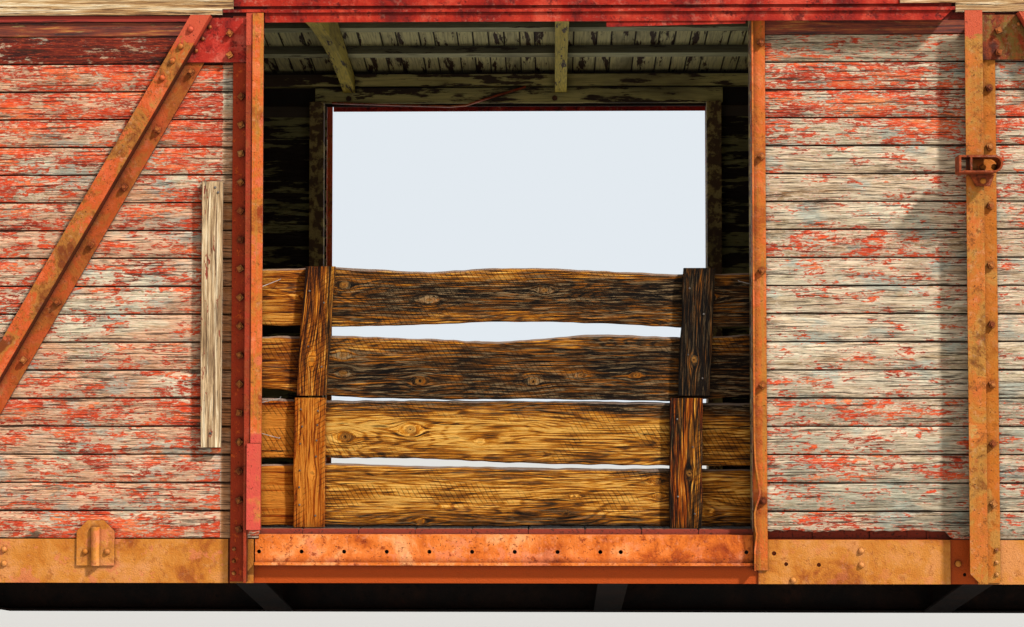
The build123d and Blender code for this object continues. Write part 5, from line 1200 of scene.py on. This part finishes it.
def four_sides(spots):
    """Spots drawn for the near right quarter, as (x, z, distance out of the wall), on all four quarters."""
    return [
        (Vector((side_x * x, out.y * (SIDE_Y + proud), z)), out)
        for x, z, proud in spots
        for side_x in (-1, 1)
        for out in (NEAR, FAR)
    ]


class BOXCAR_OT_bracing(bpy.types.Operator):
    """Dresses the posts, braces and gussets and sets their nuts and rivets"""

    bl_idname = "boxcar.bracing"
    bl_label = "Bracing"

    def execute(self, context):
        pitch = context.scene.boxcar_steel.nut_pitch
        dress({
            "brace": (
                "side_posts", "side_braces", "corner_posts", "end_posts", "ladders", "sill_steps",
                "uncoupling_levers",
            ),
            "strap": ("strap_brackets", "bent_strip"),
            "gusset": ("gussets",),
            "post": ("door_angles",),
        })
        nuts, rivets, heads = [], [], []
        for x in POST_X[1:]:
            nuts += [(x + NUT_LINE, NUTS_TOP - i * pitch, BAR_WALL) for i in range(NUTS)]
        for panel in PANELS:
            lean = brace_lean(panel[0], panel[1])
            for z in (3.308 - i * BRACE_NUT_PITCH * math.cos(lean) for i in range(NUTS)):
                nuts.append((brace_spot(panel, z, NUT_LINE), z, BAR_WALL))
            heads += [(brace_spot(panel, z, -0.042), z, BAR_DEPTH) for z in (3.497, 3.417, 3.350, 3.270)]
            rivets += [(brace_spot(panel, z, 0.016), z, 2 * BAR_WALL) for z in (3.519, 3.463, 3.407)]
            nuts += [(panel[0] + panel[2] * 0.090, z, 2 * BAR_WALL) for z in (3.488, 3.386)]
        for x in POST_X:
            rivets += [(x + 0.058, z, BAR_WALL) for z in (1.092, 1.036, 0.981)]
        nuts = four_sides(nuts)
        # The doorway's own posts: x, height of the top nut, distance between nuts, how many
        door_nuts = (
            (POST_X[0] + NUT_LINE, NUTS_TOP, pitch, NUTS),
            (-POST_X[0] - 0.036, 3.193, 0.134, 16),
            (DOOR_RIGHT + NUT_LINE, 3.437, 0.530, 5),
        )
        for out in (NEAR, FAR):
            y = out.y * (SIDE_Y + BAR_WALL)
            for x, top, drop, count in door_nuts:
                nuts += [(Vector((x, y, top - i * drop)), out) for i in range(count)]
        fasten("bracing_nuts", "nut", nuts, BODY, "orange_steel")
        fasten("bracing_rivets", "rivet", four_sides(rivets), BODY, "orange_steel", width=0.020, height=0.009)
        heads = four_sides(heads)
        fasten("brace_head_rivets", "rivet", heads, BODY, "orange_steel", "brace", width=0.030, height=0.014)
        ends = [
            (Vector((side * (HALF_LENGTH + BAR_WALL), y, 3.30 - i * 0.26)), Vector((side, 0, 0)))
            for side in (-1, 1)
            for y in (-0.482, 0.482)
            for i in range(9)
        ]
        fasten("end_post_nuts", "nut", ends, BODY, "orange_steel")
        return {"FINISHED"}


class BOXCAR_OT_doorway(bpy.types.Operator):
    """Dresses the sill, threshold, hood and brackets and sets their rivets"""

    bl_idname = "boxcar.doorway"
    bl_label = "Sill and doorway"

    def execute(self, context):
        dress({
            "sill": ("side_sills", "end_sills", "sill_brackets"),
            "threshold": ("door_threshold",),
            "hood": ("door_track_hood",),
            "plate": ("side_plates", "end_gables"),
        })
        # Rivets: x, distance out of the wall, height
        spots = [(x, 0.0, z) for x in (-5.6, -4.3, -2.822, 1.135, 2.55, 4.05, 5.4) for z in (1.087, 1.022)]
        spots += [(0.823, 0.0, 0.952), (-2.443, BAR_WALL, 1.078), (-2.341, BAR_WALL, 1.078)]
        spots += [(1.694, BAR_DEPTH, 2.845), (1.746, BAR_DEPTH, 2.847), (1.692, BAR_DEPTH + 0.009, 2.782)]
        rivets = [
            (Vector((x, out.y * (SIDE_Y + proud), z)), out) for out in (NEAR, FAR) for x, proud, z in spots
        ]
        rivets.append((Vector((1.579, -SIDE_Y, 1.029)), NEAR))
        fasten("sill_rivets", "rivet", rivets, BODY, "orange_steel", "sill", width=0.030, height=0.012)
        heads = [(Vector((x, INNER_Y - HEADER_BACK, 3.590)), NEAR) for x in (-1.507, -0.266)]
        fasten("header_bolts", "rivet", heads, BODY, "lining_wood", "truck", width=0.034, height=0.014)
        return {"FINISHED"}


class BOXCAR_OT_underframe(bpy.types.Operator):
    """Dresses the underframe, brakes, couplers and end gear"""

    bl_idname = "boxcar.underframe"
    bl_label = "Underframe and gear"

    def execute(self, context):
        dress({
            "frame": (
                "centre_sill", "crossbearers", "body_bolsters", "floor_stringers", "brake_cylinder",
                "brake_rods",
            ),
            "cast": ("couplers", "draft_gear"),
            "truck": ("hand_brake",),
        })
        return {"FINISHED"}


class BOXCAR_OT_trucks(bpy.types.Operator):
    """Dresses the trucks and sets the bolts of their arch bars and journal boxes"""

    bl_idname = "boxcar.trucks"
    bl_label = "Trucks"

    def execute(self, context):
        for truck in ("truck_a", "truck_b"):
            dress({
                "truck": (f"{truck}_arch_bars", f"{truck}_bolster", f"{truck}_springs"),
                "cast": (f"{truck}_journal_boxes", f"{truck}_brake_beams"),
            })
            low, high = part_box(f"{truck}_arch_bars")
            middle = ((low + high) / 2).x
            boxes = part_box(f"{truck}_journal_boxes")
            # Bolts: x, height of the upper one, height of the lower one
            bolts = [(middle + x, high.z, low.z) for x in (-0.240, 0.240)]
            for axle in (-HALF_WHEELBASE, HALF_WHEELBASE):
                for step in (-BOX_BOLT, BOX_BOLT):
                    bolts.append((middle + axle + step, boxes[1].z + 0.072, boxes[0].z - 0.036))
            spots = []
            for side in (-1, 1):
                for x, top, foot in bolts:
                    for z, out in ((top, UP), (foot, -UP)):
                        spots.append((Vector((x, side * (high.y - 0.057), z)), out))
            sizes = {"width": 0.046, "height": 0.026, "bolt": 0.015, "reach": 0.044}
            fasten(f"{truck}_bolts", "nut", spots, truck, "truck_steel", "truck", **sizes)
        return {"FINISHED"}


class BOXCAR_OT_wheels(bpy.types.Operator):
    """Dresses the wheels and axles"""

    bl_idname = "boxcar.wheels"
    bl_label = "Wheelsets"

    def execute(self, context):
        dress({"wheel": tuple(f"wheelset_{n}" for n in range(1, 5))})
        return {"FINISHED"}


class BOXCAR_OT_stage(bpy.types.Operator):
    """Makes the floor, the light and the camera"""

    bl_idname = "boxcar.stage"
    bl_label = "Stage"

    def execute(self, context):
        s, scene = context.scene.boxcar_stage, context.scene
        half = 400.0
        mesh = bpy.data.meshes.new("floor")
        corners = [(-half, -half, 0), (half, -half, 0), (half, half, 0), (-half, half, 0)]
        mesh.from_pydata(corners, [], [(0, 1, 2, 3)])
        floor = new_object("stage_floor", mesh)
        material, _ = new_finish("Pale studio floor")
        mesh.materials.append(shaded(material, s.floor_colour, 0.9))

        world = bpy.data.worlds.new("Studio")
        scene.world = world
        world.use_nodes = True
        tree = world.node_tree
        tree.nodes.clear()
        rays = add(tree, "LightPath", out=None).outputs
        shown = add(tree, "Math", {0: rays["Is Camera Ray"], 1: rays["Is Glossy Ray"]}, operation="MAXIMUM")
        lit = add(tree, "Background", {"Color": (1, 1, 1, 1), "Strength": s.fill})
        seen = add(tree, "Background", {"Color": s.backdrop, "Strength": 1.0})
        add(tree, "OutputWorld", {"Surface": add(tree, "MixShader", {0: shown, 1: lit, 2: seen})})

        lamp = bpy.data.lights.new("key", "SUN")
        lamp.energy = s.key
        lamp.angle = s.softness
        key = new_object("key", lamp)
        key.rotation_euler = Vector((-1.5, 1.0, -1.8)).to_track_quat("-Z", "Y").to_euler()

        lens = bpy.data.cameras.new("camera")
        lens.sensor_width = 36.0
        lens.lens = s.lens
        camera = new_object("camera", lens)
        camera.location = (s.eye_x, -SIDE_Y - s.distance, s.eye_z)
        camera.rotation_euler = (math.pi / 2 + s.tilt, 0.0, s.swing)
        scene.camera = camera
        scene.view_settings.view_transform = "Standard"
        return {"FINISHED"}


def metres(name, description, default):
    """What a property of a length in metres says."""
    return {"name": name, "description": description, "default": default, "unit": "LENGTH"}


def degrees(name, description, default):
    """What a property of an angle says."""
    return {"name": name, "description": description, "default": math.radians(default), "subtype": "ANGLE"}


def hex_colour(name, description, code):
    """What a property of a colour says."""
    return {"name": name, "description": description, "default": linear(code), "size": 4, "subtype": "COLOR"}


class BoxcarWood(bpy.types.PropertyGroup):
    """Sizes of the timber"""

    joint: FloatProperty(**metres("Joint", "Open gap between the faces of two boards", 0.006))
    worn_edge: FloatProperty(**metres("Worn edge", "Rounding of a board's weathered edge", 0.004))
    roof_gap: FloatProperty(**metres("Roof gap", "Gap between the boards under the roof", 0.008))
    roof_board: FloatProperty(**metres("Roof board", "Thickness of the boards under the roof sheets", 0.022))


class BoxcarSteel(bpy.types.PropertyGroup):
    """Sizes of the steel's fasteners"""

    nut_pitch: FloatProperty(**metres("Nut pitch", "Distance between the nuts of a post", 0.274))
    turn: FloatProperty(name="Nut turn", description="The most that a nut is turned, in radians", default=0.6)
    seed: IntProperty(name="Seed", description="Draws how far each nut is turned", default=4)


class BoxcarStage(bpy.types.PropertyGroup):
    """Camera, light and backdrop"""

    lens: FloatProperty(name="Lens", description="Focal length in mm on a 36 mm sensor", default=68.9)
    distance: FloatProperty(**metres("Distance", "From the camera to the near side", 9.07))
    eye_x: FloatProperty(**metres("Eye x", "Place of the camera along the car", -0.279))
    eye_z: FloatProperty(**metres("Eye height", "Height of the camera over the floor", 1.79))
    tilt: FloatProperty(**degrees("Tilt", "How far the camera looks up", 2.46))
    swing: FloatProperty(**degrees("Swing", "How far the camera looks to the left", 1.193))
    key: FloatProperty(name="Key light", description="Strength of the soft key light", default=5.0)
    fill: FloatProperty(name="Fill light", description="Strength of the even light all round", default=0.40)
    softness: FloatProperty(**degrees("Softness", "Width of the key light", 4.5))
    floor_colour: FloatVectorProperty(**hex_colour("Floor", "Colour of the floor", "#B9B7B2"))
    backdrop: FloatVectorProperty(**hex_colour("Backdrop", "Colour behind the car", "#E3EAF0"))


OPERATORS = (
    BOXCAR_OT_siding,
    BOXCAR_OT_ends,
    BOXCAR_OT_strips,
    BOXCAR_OT_gate,
    BOXCAR_OT_batten,
    BOXCAR_OT_floor,
    BOXCAR_OT_roof,
    BOXCAR_OT_bracing,
    BOXCAR_OT_doorway,
    BOXCAR_OT_underframe,
    BOXCAR_OT_trucks,
    BOXCAR_OT_wheels,
    BOXCAR_OT_stage,
)
GROUPS = {"boxcar_wood": BoxcarWood, "boxcar_steel": BoxcarSteel, "boxcar_stage": BoxcarStage}


class BOXCAR_PT_panel(bpy.types.Panel):
    """Lists the pieces of the boxcar"""

    bl_idname = "BOXCAR_PT_panel"
    bl_label = "Boxcar"
    bl_space_type = "VIEW_3D"
    bl_region_type = "UI"
    bl_category = "Boxcar"

    def draw(self, context):
        for operator in OPERATORS:
            self.layout.operator(operator.bl_idname)
        for group in GROUPS:
            box = self.layout.box()
            for name in GROUPS[group].__annotations__:
                box.prop(getattr(context.scene, group), name)


def register():
    for kind in (*GROUPS.values(), *OPERATORS, BOXCAR_PT_panel):
        bpy.utils.register_class(kind)
    for name, kind in GROUPS.items():
        setattr(bpy.types.Scene, name, PointerProperty(type=kind))


def unregister():
    for name in GROUPS:
        delattr(bpy.types.Scene, name)
    for kind in (BOXCAR_PT_panel, *reversed(OPERATORS), *GROUPS.values()):
        bpy.utils.unregister_class(kind)


def main():
    register()
    make_finishes()
    for operator in OPERATORS:
        group, name = operator.bl_idname.split(".")
        getattr(getattr(bpy.ops, group), name)()


if __name__ == "__main__":
    main()
